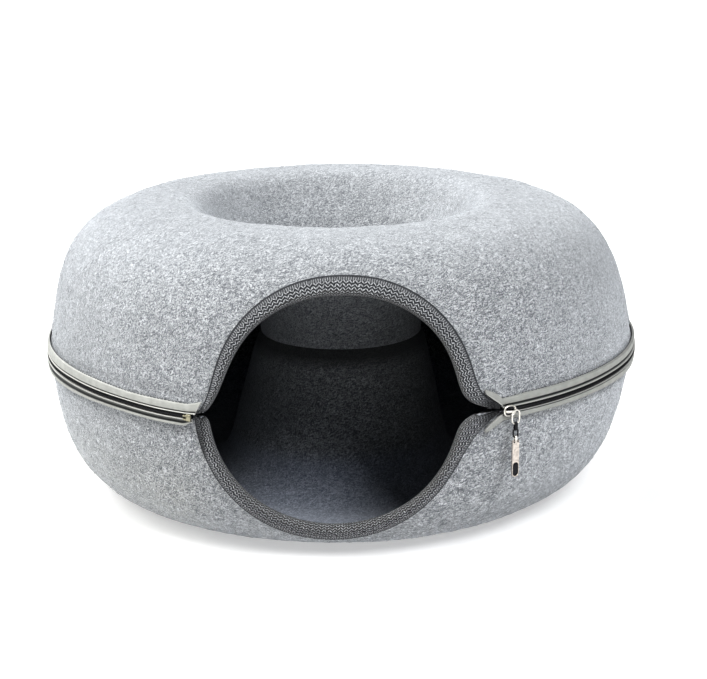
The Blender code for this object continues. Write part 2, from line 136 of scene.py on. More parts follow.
def resampled(path: Array, count: int, crowding: float = 1.0) -> Array:
    """Spaces points along a path.

    Each column is read where the run is its whole length * share^crowding, with even shares.

    Args:
        path: Points, one a row, in any number of columns.
        count: How many points to give back.
        crowding: 1 for even steps, and more for shorter steps near the start.

    Returns:
        That many rows with the same columns.
    """
    run = run_along(path)
    wanted = run[-1] * np.linspace(0.0, 1.0, count) ** crowding
    return np.stack([np.interp(wanted, run, column) for column in path.T], axis=1)


def wire_sections(path: Array, radius: float, sides: int, up: Array | None = None) -> Array:
    """Rings of a round wire along one path or many.

    Each ring is path + radius * (cos * first + sin * second), where the second direction is
    the tangent crossed with the up direction, and the first one is square to both.

    Args:
        path: ... x stations x 3.
        radius: Of the wire.
        sides: Points in a ring.
        up: A direction that no stretch of the path runs along.

    Returns:
        ... x stations x sides x 3.
    """
    along = tangents(path)
    guide = np.array([0.0, 0.31, 0.95]) if up is None else up
    second = unit(np.cross(along, np.broadcast_to(guide, along.shape)))
    first = np.cross(second, along)
    angle = ring_angles(sides)[:, None]
    ring = first[..., None, :] * np.cos(angle) + second[..., None, :] * np.sin(angle)
    return path[..., None, :] + ring * radius


@dataclass
class MeshDraft:
    """Gathers grids and caps as arrays, then puts them into one mesh.

    Attributes:
        points: Vertex arrays, each n x 3.
        faces: Corner arrays, each m x 3 or m x 4.
        uvs: Pattern coordinates of the corners, each m x k x 2, in metres.
        tints: One number a vertex, which the finishes read.
        count: Vertices so far.
    """

    points: list[Array] = field(default_factory=list)
    faces: list[Array] = field(default_factory=list)
    uvs: list[Array] = field(default_factory=list)
    tints: list[Array] = field(default_factory=list)
    count: int = 0

    def add_points(self, points: Array, tint: Array | float = 0.0) -> Array:
        """Adds vertices.

        Args:
            points: Any shape x 3.
            tint: One number for each, or one for all.

        Returns:
            Their indices, in the same shape without the last axis.
        """
        shape = points.shape[:-1]
        index = np.arange(self.count, self.count + math.prod(shape)).reshape(shape)
        self.points.append(points.reshape(-1, 3))
        self.tints.append(np.broadcast_to(tint, shape).reshape(-1))
        self.count += math.prod(shape)
        return index

    def add_faces(self, corners: Array, uv: Array | None = None) -> None:
        """Adds faces.

        Args:
            corners: Any shape x corners of vertex indices.
            uv: The same shape x 2, or None for zeros.
        """
        flat = corners.reshape(-1, corners.shape[-1])
        self.faces.append(flat)
        self.uvs.append(np.zeros((*flat.shape, 2)) if uv is None else uv.reshape(*flat.shape, 2))

    def grid(
        self,
        points: Array,
        wrap: tuple[bool, bool] = (False, False),
        uv: Array | None = None,
        tint: Array | float = 0.0,
    ) -> Array:
        """Adds quads between neighbouring points of one grid or of many alike.

        Args:
            points: ... x rows x columns x 3.
            wrap: Whether the last row and the last column join the first.
            uv: (rows, plus 1 if wrapped) x (columns, plus 1 if wrapped) x 2.
            tint: Numbers that spread to the points' shape.

        Returns:
            The points' indices.
        """
        index = self.add_points(points, tint)
        full = index
        if wrap[0]:
            full = np.concatenate([full, full[..., :1, :]], axis=-2)
        if wrap[1]:
            full = np.concatenate([full, full[..., :, :1]], axis=-1)
        near, far = full[..., :-1, :], full[..., 1:, :]
        sides = (near[..., :-1], near[..., 1:], far[..., 1:], far[..., :-1])
        corner_uv = None
        if uv is not None:
            low, high = uv[:-1], uv[1:]
            corner_uv = np.stack([low[:, :-1], low[:, 1:], high[:, 1:], high[:, :-1]], axis=-2)
        self.add_faces(np.stack(sides, axis=-1), corner_uv)
        return index

    def caps(self, index: Array, centres: tuple[Array, Array], tint: float = 0.0) -> None:
        """Closes the first and the last ring of a grid, or of many, with fans or triangles.

        They run against the grid's faces along their shared edges, so all face one way.

        Args:
            index: ... x rings x k indices.
            centres: The middle of each fan, each ... x 3.
            tint: Of those middles.
        """
        for ring, centre in zip((index[..., 0, ::-1], index[..., -1, :]), centres):
            if ring.shape[-1] == 3:
                self.add_faces(ring)
                continue
            middle = np.broadcast_to(self.add_points(centre, tint)[..., None], ring.shape)
            self.add_faces(np.stack([ring, np.roll(ring, -1, axis=-1), middle], axis=-1))

    def tube(
        self,
        sections: Array,
        uv: Array | None = None,
        tint: Array | float = 0.0,
        end_tint: float = 0.0,
    ) -> None:
        """Adds a tube, or many alike, and caps both ends.

        Args:
            sections: ... x stations x sides x 3.
            uv: stations x (sides + 1) x 2, or None.
            tint: Numbers that spread to the sections' points.
            end_tint: Of the middles of both caps.
        """
        index = self.grid(sections, (False, True), uv, tint)
        ends = (sections[..., 0, :, :].mean(axis=-2), sections[..., -1, :, :].mean(axis=-2))
        self.caps(index, ends, end_tint)

    def piece(self, name: str, sharp_angle: float = 50.0) -> Piece:
        """Puts all that was gathered into one smooth-shaded object at the origin.

        Args:
            name: The object's name.
            sharp_angle: Edges that bend more than this many degrees stay sharp.

        Returns:
            The object, its faces pointing outwards.
        """
        mesh = bpy.data.meshes.new(name)
        points = np.concatenate(self.points).astype(np.float32)
        corners = np.concatenate([part.ravel() for part in self.faces]).astype(np.int32)
        sizes = np.concatenate([np.full(len(part), part.shape[1]) for part in self.faces])
        starts = np.concatenate([[0], np.cumsum(sizes)[:-1]]).astype(np.int32)
        mesh.vertices.add(len(points))
        mesh.vertices.foreach_set("co", points.ravel())
        mesh.loops.add(len(corners))
        mesh.loops.foreach_set("vertex_index", corners)
        mesh.polygons.add(len(starts))
        mesh.polygons.foreach_set("loop_start", starts)
        uv = np.concatenate([part.reshape(-1, 2) for part in self.uvs]).astype(np.float32)
        mesh.uv_layers.new(name="metres").data.foreach_set("uv", uv.ravel())
        tint = mesh.attributes.new("tint", "FLOAT", "POINT")
        tint.data.foreach_set("value", np.concatenate(self.tints).astype(np.float32))
        mesh.update(calc_edges=True)
        bpy.context.view_layer.update()
        made = bpy.data.objects.new(name, mesh)
        bpy.context.scene.collection.objects.link(made)
        bpy.context.view_layer.objects.active = made
        turn_outward(mesh)
        mesh.shade_smooth()
        mesh.set_sharp_from_angle(angle=math.radians(sharp_angle))
        return made


def turn_outward(mesh: bpy.types.Mesh) -> None:
    """Turns every face outwards if the signed volume says that they point inwards.

    Six times the volume is the sum over the fan triangles of first . (second x third).

    Args:
        mesh: A mesh whose faces all turn the same way.
    """
    mesh.calc_loop_triangles()
    corners = np.empty(len(mesh.loop_triangles) * 3, np.int32)
    mesh.loop_triangles.foreach_get("vertices", corners)
    points = np.empty(len(mesh.vertices) * 3, np.float32)
    mesh.vertices.foreach_get("co", points)
    first, second, third = points.reshape(-1, 3)[corners.reshape(-1, 3)].swapaxes(0, 1)
    if np.einsum("ij,ij->i", first, np.cross(second, third)).sum() < 0.0:
        mesh.flip_normals()


def dressed(piece: Piece, material: Material, replaced: Sequence[str] = ()) -> Piece:
    """Gives a piece its finish and hangs it on the body.

    Args:
        piece: The finished object.
        material: Its material.
        replaced: Names of the solids that it stands for.

    Returns:
        The same object.
    """
    piece.data.materials.clear()
    piece.data.materials.append(material)
    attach(piece, "root")
    if replaced:
        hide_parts(*replaced)
    triangles = sum(len(face.vertices) - 2 for face in piece.data.polygons)
    log.info("%s: %d triangles", piece.name, triangles)
    return piece


@dataclass(frozen=True)
class Lumps:
    """A smooth random field from -1 to 1, the same on each run.

    Attributes:
        seed: Of its random numbers.
        cell: Spacing of its lattice in metres.
        size: Lattice points a side before it repeats.
    """

    seed: int
    cell: float
    size: int = 24

    def at(self, points: Array) -> Array:
        """Blends the eight lattice values round each point with smooth weights.

        Args:
            points: ... x 3.

        Returns:
            One number for each point.
        """
        lattice = np.random.default_rng(self.seed).uniform(-1.0, 1.0, (self.size,) * 3)
        scaled = points / self.cell
        base = np.floor(scaled).astype(int)
        share = smooth_step(scaled - base, 0.0, 1.0)
        total = np.zeros(points.shape[:-1])
        for corner in np.ndindex(2, 2, 2):
            pick = (base + corner) % self.size
            weight = np.where(corner, share, 1.0 - share).prod(axis=-1)
            total += weight * lattice[pick[..., 0], pick[..., 1], pick[..., 2]]
        return total


# ------------------------------------------------------------------ form of the felt
class Half(Enum):
    """The two moulded halves."""

    UPPER = "upper"
    LOWER = "lower"

    @property
    def sign(self) -> float:
        """1 for the upper half, which rises from the zip, and -1 for the lower one."""
        return 1.0 if self is Half.UPPER else -1.0


@dataclass(frozen=True)
class SideCurve:
    """One half's side: a superellipse from the zip to the crown or the base.

    Attributes:
        reach: Its height.
        far_radius: Radius of the crown or of the base's edge.
        side_radius: Radius that it would have at the zip.
        power: Of the superellipse.
        lean: Sideways drift over the reach.
    """

    reach: float
    far_radius: float
    side_radius: float
    power: float
    lean: float


@dataclass(frozen=True)
class FeltSkin:
    """Outer skin of both halves, round the doughnut's own axis.

    Attributes:
        axis_y: Where that axis stands.
        zip_height: Plane in which the halves meet.
        edge_radius: Radius at the zip.
        flare: How far from the zip the edges are drawn outwards.
        upper: The upper half's side.
        lower: The lower half's side.
    """

    axis_y: float = -0.0092
    zip_height: float = 0.1197
    edge_radius: float = 0.2470
    flare: float = 0.0283
    upper: SideCurve = SideCurve(0.1206, 0.1356, 0.2417, 2.65, -0.0025)
    lower: SideCurve = SideCurve(0.1197, 0.1587, 0.2438, 2.48, -0.0034)

    def curve_radius(self, curve: SideCurve, away: Array) -> Array:
        """Radius of one half's skin at a distance from the zip plane.

        The sine is (away / reach)^(power / 2), and the radius is the far radius plus the rest
        times cosine^(2 / power), plus the flare's exp(-(away / flare)^2).

        Args:
            curve: That half's side.
            away: Distance from the zip plane.

        Returns:
            One radius for each distance.
        """
        sine = np.minimum(away / curve.reach, 1.0) ** (curve.power / 2)
        cosine = np.sqrt(np.maximum(0.0, 1.0 - sine * sine))
        drawn = (self.edge_radius - curve.side_radius) * bell(away, 0.0, self.flare)
        swell = (curve.side_radius - curve.far_radius) * cosine ** (2 / curve.power)
        return curve.far_radius + swell + drawn

    def radius(self, height: Array) -> Array:
        """Radius of the skin at these heights."""
        away = np.abs(height - self.zip_height)
        above, below = (self.curve_radius(curve, away) for curve in (self.upper, self.lower))
        return np.where(height >= self.zip_height, above, below)

    def drift(self, height: Array) -> Array:
        """Sideways drift of the skin at these heights: lean * away / reach of that half."""
        away = np.abs(height - self.zip_height)
        above, below = (curve.lean * away / curve.reach for curve in (self.upper, self.lower))
        return np.where(height >= self.zip_height, above, below)

    def front(self, x: Array, height: Array, outwards: Array | float) -> Array:
        """Points of the front skin, moved outwards along its normal.

        The depth is the square root of radius^2 - across^2, with across measured from the
        drifted axis, and the normal's rise is minus the slope of the radius with height.

        Args:
            x: Where they are seen from the front.
            height: At what height.
            outwards: How far off the skin.

        Returns:
            One point for each, in the object's frame.
        """
        radius = self.radius(height)
        across = x - self.drift(height)
        depth = np.sqrt(radius * radius - across * across)
        step = 0.0002
        slope = (self.radius(height + step) - self.radius(height - step)) / (2 * step)
        normal = unit(together(across / radius, -depth / radius, -slope))
        place = together(x, self.axis_y - depth, height)
        return place + normal * np.asarray(outwards)[..., None]

    def turned(self, azimuth: Array, radius: Array, height: Array, leaned: bool = True) -> Array:
        """Points round the axis.

        Args:
            azimuth: Degrees from the front towards +X.
            radius: Distance from the axis.
            height: Over the floor.
            leaned: Whether they drift sideways with the felt.

        Returns:
            One point for each, in the object's frame.
        """
        angle = np.radians(azimuth)
        x = radius * np.sin(angle) + (self.drift(height) if leaned else 0.0)
        return together(x, self.axis_y - radius * np.cos(angle), height)


def fillet(corner: Array, before: Array, after: Array, radius: float, count: int = 12) -> Array:
    """An arc that rounds the corner between two straight lines.

    Its centre lies on the bisector, radius / sin(half the angle) away, and its points are the
    start turned about that centre in equal steps.

    Args:
        corner: Where the lines meet.
        before: A point on the first line.
        after: A point on the second line.
        radius: Of the arc.
        count: Points in it.

    Returns:
        count x 2 points.
    """
    back, on = unit(before - corner), unit(after - corner)
    half = math.acos(float(np.clip(back @ on, -1.0, 1.0))) / 2
    centre = corner + unit(back + on) * radius / math.sin(half)
    start = corner + back * radius / math.tan(half) - centre
    end = corner + on * radius / math.tan(half) - centre
    sweep = math.atan2(start[0] * end[1] - start[1] * end[0], float(start @ end))
    angle = np.linspace(0.0, sweep, count)
    cosine, sine = np.cos(angle), np.sin(angle)
    turned = (start[0] * cosine - start[1] * sine, start[0] * sine + start[1] * cosine)
    return centre + together(*turned)


@dataclass(frozen=True)
class HalfOutline:
    """Half of the entrance's outline in the front view: half a superellipse with drawn ends.

    Attributes:
        centre: Its middle, from the object's middle.
        half_width: Of the superellipse.
        rise: Its height above or below the zip.
        power: Of the superellipse.
        left_pull: How far the left end is drawn out at the zip.
        left_reach: How far from the zip that pull fades.
        right_pull: How far the right end is drawn out.
        right_reach: How far from the zip that fades.
        end_gap: Where its ends stop, from the zip plane.
    """

    centre: float
    half_width: float
    rise: float
    power: float
    left_pull: float
    left_reach: float
    right_pull: float
    right_reach: float
    end_gap: float

    def points(self, half: Half, zip_height: float, count: int) -> Array:
        """Points from the right end to the left end, as (x, height).

        x is centre + half_width * cos^(2/power) plus pull * exp(-away / reach), the height
        away from the zip is rise * sin^(2/power), and the angle's steps crowd at both ends.

        Args:
            half: Which half of the outline this is.
            zip_height: Of the plane that the ends stop at.
            count: How many points.

        Returns:
            count x 2 points.
        """
        crowding, right_end = 0.82, 0.1172
        share = np.linspace(0.0, 1.0, count)
        angle = np.pi * (share - crowding * np.sin(2 * np.pi * share) / (2 * np.pi))
        cosine, sine = np.cos(angle), np.maximum(np.sin(angle), 0.0)
        x = self.centre + self.half_width * squared_off(cosine, 2 / self.power)
        away = self.rise * sine ** (2 / self.power)
        right = np.minimum(x + self.right_pull * np.exp(-away / self.right_reach), right_end)
        left = x - self.left_pull * np.exp(-away / self.left_reach)
        away = self.end_gap + away * (1.0 - self.end_gap / self.rise)
        return together(np.where(cosine > 0.0, right, left), zip_height + half.sign * away)


CUTS = {
    Half.UPPER: HalfOutline(0.0006, 0.0894, 0.0920, 2.2, 0.0140, 0.0190, 0.0205, 0.0066, 0.0024),
    Half.LOWER: HalfOutline(-0.0064, 0.0945, 0.0942, 1.9, 0.0031, 0.0030, 0.0130, 0.0050, 0.0024),
}
BINDING_EDGES = {
    Half.UPPER: HalfOutline(0.0015, 0.0984, 0.1012, 2.2, 0.0114, 0.0100, 0.0330, 0.0070, 0.0005),
    Half.LOWER: HalfOutline(-0.0080, 0.1006, 0.1040, 1.9, 0.0005, 0.0040, 0.0272, 0.0143, 0.0005),
}


@dataclass
class FeltShells:
    """The two moulded felt halves, cut for the entrance, and the loose fibres on them.

    Attributes:
        skin: Their outer skin.
        wall: Thickness of the felt.
        seam_half_gap: Each half's edge stops this far from the zip plane.
        columns: Steps round the doughnut.
        outer_rows: Steps along the outer skin.
        inner_rows: Steps along the inner skin.
        crowding: How much those steps shorten towards the zip.
        well_end: Radius and height of the well's lower edge.
        well_power: Of the well's superellipse.
        rim_power: What is added to it near the crown.
        cone_foot: Radius and height where the cone meets the base.
        cone_foot_fillet: Radius of the rounding there.
        shoulder: Radius and height of the cone's top corner.
        shoulder_fillet: Radius of the rounding there.
        neck: Radius of the cone's neck, and the heights of its foot and its top.
        neck_fillet: Radius of the rounding at its foot.
        swells: Height, seed and cell of each random field that makes the felt uneven.
        fuzz: The same for the finest one, on the outer skin alone.
        dent: Depth, distance from the zip and width of the dent along the seam.
        blanks: Width and area of the round blank that each half is moulded from.
        fibre_count: Loose fibres on each half.
        fibre_radius: Of a fibre's middle.
    """

    skin: FeltSkin
    wall: float = 0.004
    seam_half_gap: float = 0.0026
    columns: int = 480
    outer_rows: int = 112
    inner_rows: int = 48
    crowding: float = 1.3
    well_end: Pair = (0.0648, 0.1258)
    well_power: float = 1.6
    rim_power: float = 0.35
    cone_foot: Pair = (0.0976, 0.0)
    cone_foot_fillet: float = 0.041
    shoulder: Pair = (0.0684, 0.1180)
    shoulder_fillet: float = 0.0035
    neck: Triple = (0.0594, 0.1228, 0.1420)
    neck_fillet: float = 0.0068
    swells: tuple[tuple[float, int, float], ...] = (
        (0.0011, 11, 0.070), (0.00050, 12, 0.026), (0.00022, 13, 0.0085),
    )
    fuzz: tuple[float, int, float] = (0.00010, 14, 0.0042)
    dent: Triple = (0.0010, 0.0123, 0.0032)
    blanks: tuple[Pair, Pair] = ((0.63, 0.312), (0.65, 0.332))
    fibre_count: int = 6400
    fibre_radius: float = 0.00009

    def side_profile(self, curve: SideCurve, half: Half) -> Array:
        """One half's side as (radius, height), from the zip: reach * sin^(2/power) away."""
        away = curve.reach * np.sin(QUARTER_TURN) ** (2 / curve.power)
        away = np.maximum(away, self.seam_half_gap)
        radius = self.skin.curve_radius(curve, away)
        return together(radius, self.skin.zip_height + half.sign * away)

    def upper_profile(self) -> Array:
        """Side, crown and well of the upper half, as (radius, height) from the zip.

        In the well, with u the share of the way from the crown's radius to the well's end,
        the height is end + (crown - end) * (1 - u^power)^(1/power), and the power is larger
        near the crown, which rounds the rim.
        """
        curve = self.skin.upper
        crown = self.skin.zip_height + curve.reach
        share = np.cos(QUARTER_TURN[::-1][1:]) ** (2 / self.well_power)
        power = self.well_power + self.rim_power * (1.0 - smooth_step(share, 0.0, 0.5))
        radius = curve.far_radius - (curve.far_radius - self.well_end[0]) * share
        rise = (crown - self.well_end[1]) * np.maximum(1.0 - share**power, 0.0) ** (1 / power)
        well = together(radius, self.well_end[1] + rise)
        return np.concatenate([self.side_profile(curve, Half.UPPER), well])

    def lower_profile(self) -> Array:
        """Side, flat base, cone and neck of the lower half, as (radius, height) from the zip."""
        side = self.side_profile(self.skin.lower, Half.LOWER)
        side[-1, 1] = 0.0
        foot, shoulder = np.array(self.cone_foot), np.array(self.shoulder)
        low, top = (np.array([self.neck[0], height]) for height in self.neck[1:])
        return np.concatenate(
            [
                side,
                fillet(foot, side[-1], shoulder, self.cone_foot_fillet, 24),
                fillet(shoulder, foot, low, self.shoulder_fillet),
                fillet(low, shoulder, top, self.neck_fillet),
                top[None],
            ]
        )

    def calm(self, points: Array, half: Half) -> Array:
        """How freely the felt may swell.

        Args:
            points: ... x 3.
            half: Which half they lie on.

        Returns:
            From 0, where it rests, under a binding and at the zip, to 1.
        """
        free = smooth_step(np.abs(points[..., 2] - self.skin.zip_height), 0.006, 0.024)
        free = free * smooth_step(points[..., 2], 0.0004, 0.012)
        return free * smooth_step(self.from_binding(points, half), 0.0, 0.016)

    def from_binding(self, points: Array, half: Half) -> Array:
        """Distance in the front view beyond the binding's edge, negative inside the entrance.

        A point is inside if it is nearer to the entrance's middle than the edge's point
        nearest to it.

        Args:
            points: ... x 3.
            half: Which half they lie on.

        Returns:
            One number for each, and 1 for those behind the axis.
        """
        edge = BINDING_EDGES[half].points(half, self.skin.zip_height, 90)
        seen = points[..., [0, 2]].reshape(-1, 2)
        offsets = ((seen[:, None, :] - edge[None, :, :]) ** 2).sum(axis=-1)
        distance = np.sqrt(offsets.min(axis=1))
        middle = np.array([edge[:, 0].mean(), self.skin.zip_height])
        nearest = edge[offsets.argmin(axis=1)]
        spoke = np.linalg.norm(seen - middle, axis=1)
        inside = spoke < np.linalg.norm(nearest - middle, axis=1)
        signed = np.where(inside, -distance, distance).reshape(points.shape[:-1])
        return np.where(points[..., 1] < self.skin.axis_y, signed, 1.0)

    def section(self, profile: Array) -> tuple[Array, Array, Array]:
        """A closed loop round the wall: outer skin, rounded edge, inner skin, rounded edge.

        Args:
            profile: The outer skin, as (radius, height).

        Returns:
            The loop's points, their outward directions, and 1 where a point is on the outer
            skin and 0 where it is on the inner one.
        """
        outer = resampled(profile, self.outer_rows, self.crowding)
        inner = resampled(profile, self.inner_rows, self.crowding)[::-1]
        outer_along, inner_along = tangents(outer), tangents(inner)
        out = together(outer_along[:, 1], -outer_along[:, 0])
        inner_out = together(-inner_along[:, 1], inner_along[:, 0])
        if out[0, 0] < 0.0:
            out, inner_out = -out, -inner_out
        turn = np.array([0.25, 0.5, 0.75])[:, None] * np.pi
        bulge = self.wall * 0.3 * np.sin(turn)
        depth = self.wall / 2 * (1.0 - np.cos(turn))
        far_edge = outer[-1] + outer_along[-1] * bulge - out[-1] * depth
        near_edge = outer[0] - outer_along[0] * bulge - out[0] * depth
        loop = np.concatenate([outer, far_edge, inner - inner_out * self.wall, near_edge[::-1]])
        far_out, near_out = (np.repeat(end, len(turn), 0) for end in (out[-1:], out[:1]))
        directions = np.concatenate([out, far_out, inner_out, near_out])
        outside = np.concatenate([np.ones(len(outer)), np.zeros(len(loop) - len(outer))])
        return loop, directions, outside

    def shade(self, loop: Array, outside: Array, half: Half) -> Array:
        """What the felt's finish reads at each point of the section.

        In the lower half it is painted shade on the inner skin, by how deep in the tunnel it lies:
        a little at the floor, more with height, and most of all under the well, between the cone's
        shoulder and its neck, where it paints the skirt's shadow. In the upper half the inner skin
        has one amount of painted shade, and the well's wall, which gets painted light that makes it
        paler, is negative.

        Args:
            loop: The section's points.
            outside: 1 on the outer skin.
            half: Which half.

        Returns:
            One number for each point, from -1 to 1.
        """
        radius, height = loop.T
        # Painted shade in the tunnel: roof on the upper inner skin, floor and rise on the lower one.
        roof, floor, rise = 0.22, 0.015, 0.205
        if half is Half.UPPER:
            # The well's wall gets painted light, as a negative tint.
            inwards = smooth_step(self.skin.upper.far_radius + 0.004 - radius, 0.0, 0.020)
            return roof * (1.0 - outside) - outside * inwards * smooth_step(height, 0.160, 0.215)
        deep = floor + rise * smooth_step(height, 0.02, 0.08)
        # Painted shadow of the skirt on the cone, between its shoulder and its neck.
        under = smooth_step(height, 0.1010, 0.1185) * (1.0 - smooth_step(height, 0.128, 0.132))
        between = (radius < 0.085) & (self.neck[0] < radius)
        return (1.0 - outside) * np.maximum(deep, under * between)

    def surface(self, half: Half) -> tuple[Array, Array, Array]:
        """The whole wall as a grid, with the felt's unevenness.

        Each point is the turned section, moved along its outward direction by the sum of the
        random fields, less a dent along the zip's seam.

        Args:
            half: Which half.

        Returns:
            The grid, (points round the wall) x columns x 3, the outward directions, and the
            shade of each of the section's points.
        """
        profile = self.upper_profile() if half is Half.UPPER else self.lower_profile()
        loop, directions, outside = self.section(profile)
        azimuth = (np.arange(self.columns) * 360.0 / self.columns)[None, :]
        grid = self.skin.turned(azimuth, loop[:, :1], loop[:, 1:])
        angle = np.radians(azimuth)
        level, upward = directions[:, :1], directions[:, 1:]
        normal = together(level * np.sin(angle), -level * np.cos(angle), upward)
        swell = sum(height * Lumps(seed, cell).at(grid) for height, seed, cell in self.swells)
        depth, middle, width = self.dent
        away = np.abs(loop[:, 1] - self.skin.zip_height)
        dent = depth * bell(away, middle, width) * (loop[:, 0] > 0.2)
        height, seed, cell = self.fuzz
        fuzz = height * Lumps(seed, cell, 48).at(grid) * outside[:, None]
        moved = swell * self.calm(grid, half) + fuzz - dent[:, None]
        return grid + normal * moved[..., None], normal, self.shade(loop, outside, half)

    def plug(self) -> Piece:
        """A closed plug whose sides run square to the felt along the entrance's outline."""
        upper, lower = (CUTS[half].points(half, self.skin.zip_height, 120) for half in Half)
        x, height = np.concatenate([upper, lower[::-1]]).T
        reach, front, back = 0.012, 0.36, 0.17
        rings = np.stack([self.skin.front(x, height, side) for side in (reach, -reach)])
        draft = MeshDraft()
        index = draft.grid(rings, (False, True))
        ends = (np.array([0.0, self.skin.axis_y - y, self.skin.zip_height]) for y in (front, back))
        draft.caps(index, tuple(ends))
        return draft.piece("entrance_plug")

    def cut(self, shell: Piece, plug: Piece) -> None:
        """Cuts the entrance out of a shell and applies the cut.

        Args:
            shell: What is cut.
            plug: What is taken away.
        """
        modifier = shell.modifiers.new("Entrance", "BOOLEAN")
        modifier.object = plug
        modifier.solver = "EXACT"
        bpy.context.view_layer.update()
        graph = bpy.context.evaluated_depsgraph_get()
        mesh = bpy.data.meshes.new_from_object(shell.evaluated_get(graph))
        shell.modifiers.clear()
        old, shell.data = shell.data, mesh
        bpy.data.meshes.remove(old)
        mesh.name = shell.name

    def fibres(self, half: Half, grid: Array, normal: Array) -> MeshDraft:
        """Short loose fibres that lie on the outer skin.

        Each is a three-sided sliver on start + direction * s + side * bend * s^2, lifted off
        the skin by a little more at one end. They keep off the zip, the binding and the floor.

        Args:
            half: Which half.
            grid: The shell's grid.
            normal: Its outward directions.

        Returns:
            A draft that holds them all, with a random tint for each.
        """
        rng = np.random.default_rng(21 if half is Half.UPPER else 22)
        outer, out = grid[: self.outer_rows], normal[: self.outer_rows]
        tries = self.fibre_count * 3
        row = rng.integers(1, self.outer_rows - 1, tries)
        column = rng.integers(0, self.columns, tries)
        place = outer[row, column]
        reach = np.hypot(place[:, 0], place[:, 1] - self.skin.axis_y)
        keep = rng.uniform(0.0, 0.25, tries) < reach
        keep &= np.abs(place[:, 2] - self.skin.zip_height) > 0.0105
        keep &= self.from_binding(place, half) > 0.0015
        keep &= place[:, 2] > 0.003
        row, column, place = (part[keep][: self.fibre_count] for part in (row, column, place))
        up = out[row, column]
        beside = unit(outer[row, (column + 1) % self.columns] - place)
        turn = rng.uniform(0.0, 2 * np.pi, len(place))[:, None]
        along = unit(beside * np.cos(turn) + np.cross(up, beside) * np.sin(turn))
        side = np.cross(up, along)
        jitter = rng.uniform(-0.0016, 0.0016, (2, len(place), 1))
        place = place + along * jitter[0] + side * jitter[1]
        length = rng.uniform(0.0020, 0.0058, len(place))[:, None, None]
        bend = rng.normal(0.0, 60.0, len(place))[:, None, None]
        rise = rng.uniform(0.00002, 0.00035, len(place))[:, None, None]
        share = np.linspace(-0.5, 0.5, 3)[None, :, None]
        run = share * length
        path = place[:, None] + along[:, None] * run + side[:, None] * (bend * run * run)
        path = path + up[:, None] * (0.00006 + rise * (share + 0.5) ** 2)
        radius = self.fibre_radius * (1.0 - 0.8 * (2 * np.abs(share)) ** 3)
        angle = ring_angles(3)[:, None]
        ring = side[:, None, None] * np.cos(angle) + up[:, None, None] * np.sin(angle)
        draft = MeshDraft()
        tint = rng.uniform(0.0, 1.0, len(place))[:, None, None]
        draft.tube(path[:, :, None] + ring * radius[..., None], tint=tint)
        return draft

    def build(self, felt: Material, strands: Material) -> None:
        """Builds both halves and their fibres.

        Args:
            felt: Finish of the walls.
            strands: Finish of the fibres.
        """
        plug = self.plug()
        for half, (blank, area) in zip(Half, self.blanks):
            grid, normal, shade = self.surface(half)
            draft = MeshDraft()
            draft.grid(grid, (True, True), tint=shade[:, None])
            name = f"{half.value}_shell"
            shell = draft.piece(f"{name}_felt")
            self.cut(shell, plug)
            dressed(shell, felt, [name])
            fibres = self.fibres(half, grid, normal).piece(f"{name}_fibres")
            dressed(fibres, strands)
        bpy.data.objects.remove(plug, do_unlink=True)


# ------------------------------------------------------------------ woven binding
@dataclass(frozen=True)
class Weave:
    """Threads of the binding, the same in the relief and in the colour.

    Attributes:
        selvedge: Width of the plain edge at the felt side.
        ribbed: Distance from that edge where the ribs end and the zigzags start.
        pitch: From one zigzag thread to the next, across the tape.
        wave: Length of one zigzag along the tape.
        swing: Height of the zigzag across the tape.
        rib: Pitch of the ribs along the tape.
        selvedge_blend: Half the width over which the plain edge turns into ribs.
        rib_blend: Half the width over which the ribs turn into zigzags.
    """

    selvedge: float = 0.0019
    ribbed: float = 0.0040
    pitch: float = 0.0022
    wave: float = 0.0042
    swing: float = 0.0017
    rib: float = 0.0016
    selvedge_blend: float = 0.0003
    rib_blend: float = 0.0006

    def height(self, along: Array, across: Array) -> Array:
        """Relief of the weave.

        The threads' phase is (across + swing * triangle(along / wave)) / pitch. A thread stands
        where the phase's triangle wave is high and is lower at the zigzag's turns, by a sine.
        The ribs are a cosine along the tape.

        Args:
            along: Distance along the tape.
            across: Distance from the free edge.

        Returns:
            One number for each, from 0 to 1.
        """
        triangle = 2 * np.abs(along / self.wave - np.floor(along / self.wave + 0.5))
        phase = (across + self.swing * triangle) / self.pitch
        thread = smooth_step(2 * np.abs(phase - np.floor(phase + 0.5)), 0.25, 0.9)
        thread = thread * (0.4 + 0.6 * np.abs(np.sin(2 * np.pi * along / self.wave)))
        rib = 0.4 + 0.4 * np.cos(2 * np.pi * along / self.rib)
        edge, blend = self.selvedge, self.selvedge_blend
        body = smooth_step(across, edge - blend, edge + blend)
        edge, blend = self.ribbed, self.rib_blend
        inner = smooth_step(across, edge - blend, edge + blend)
        return body * (rib * (1.0 - inner) + thread * inner)


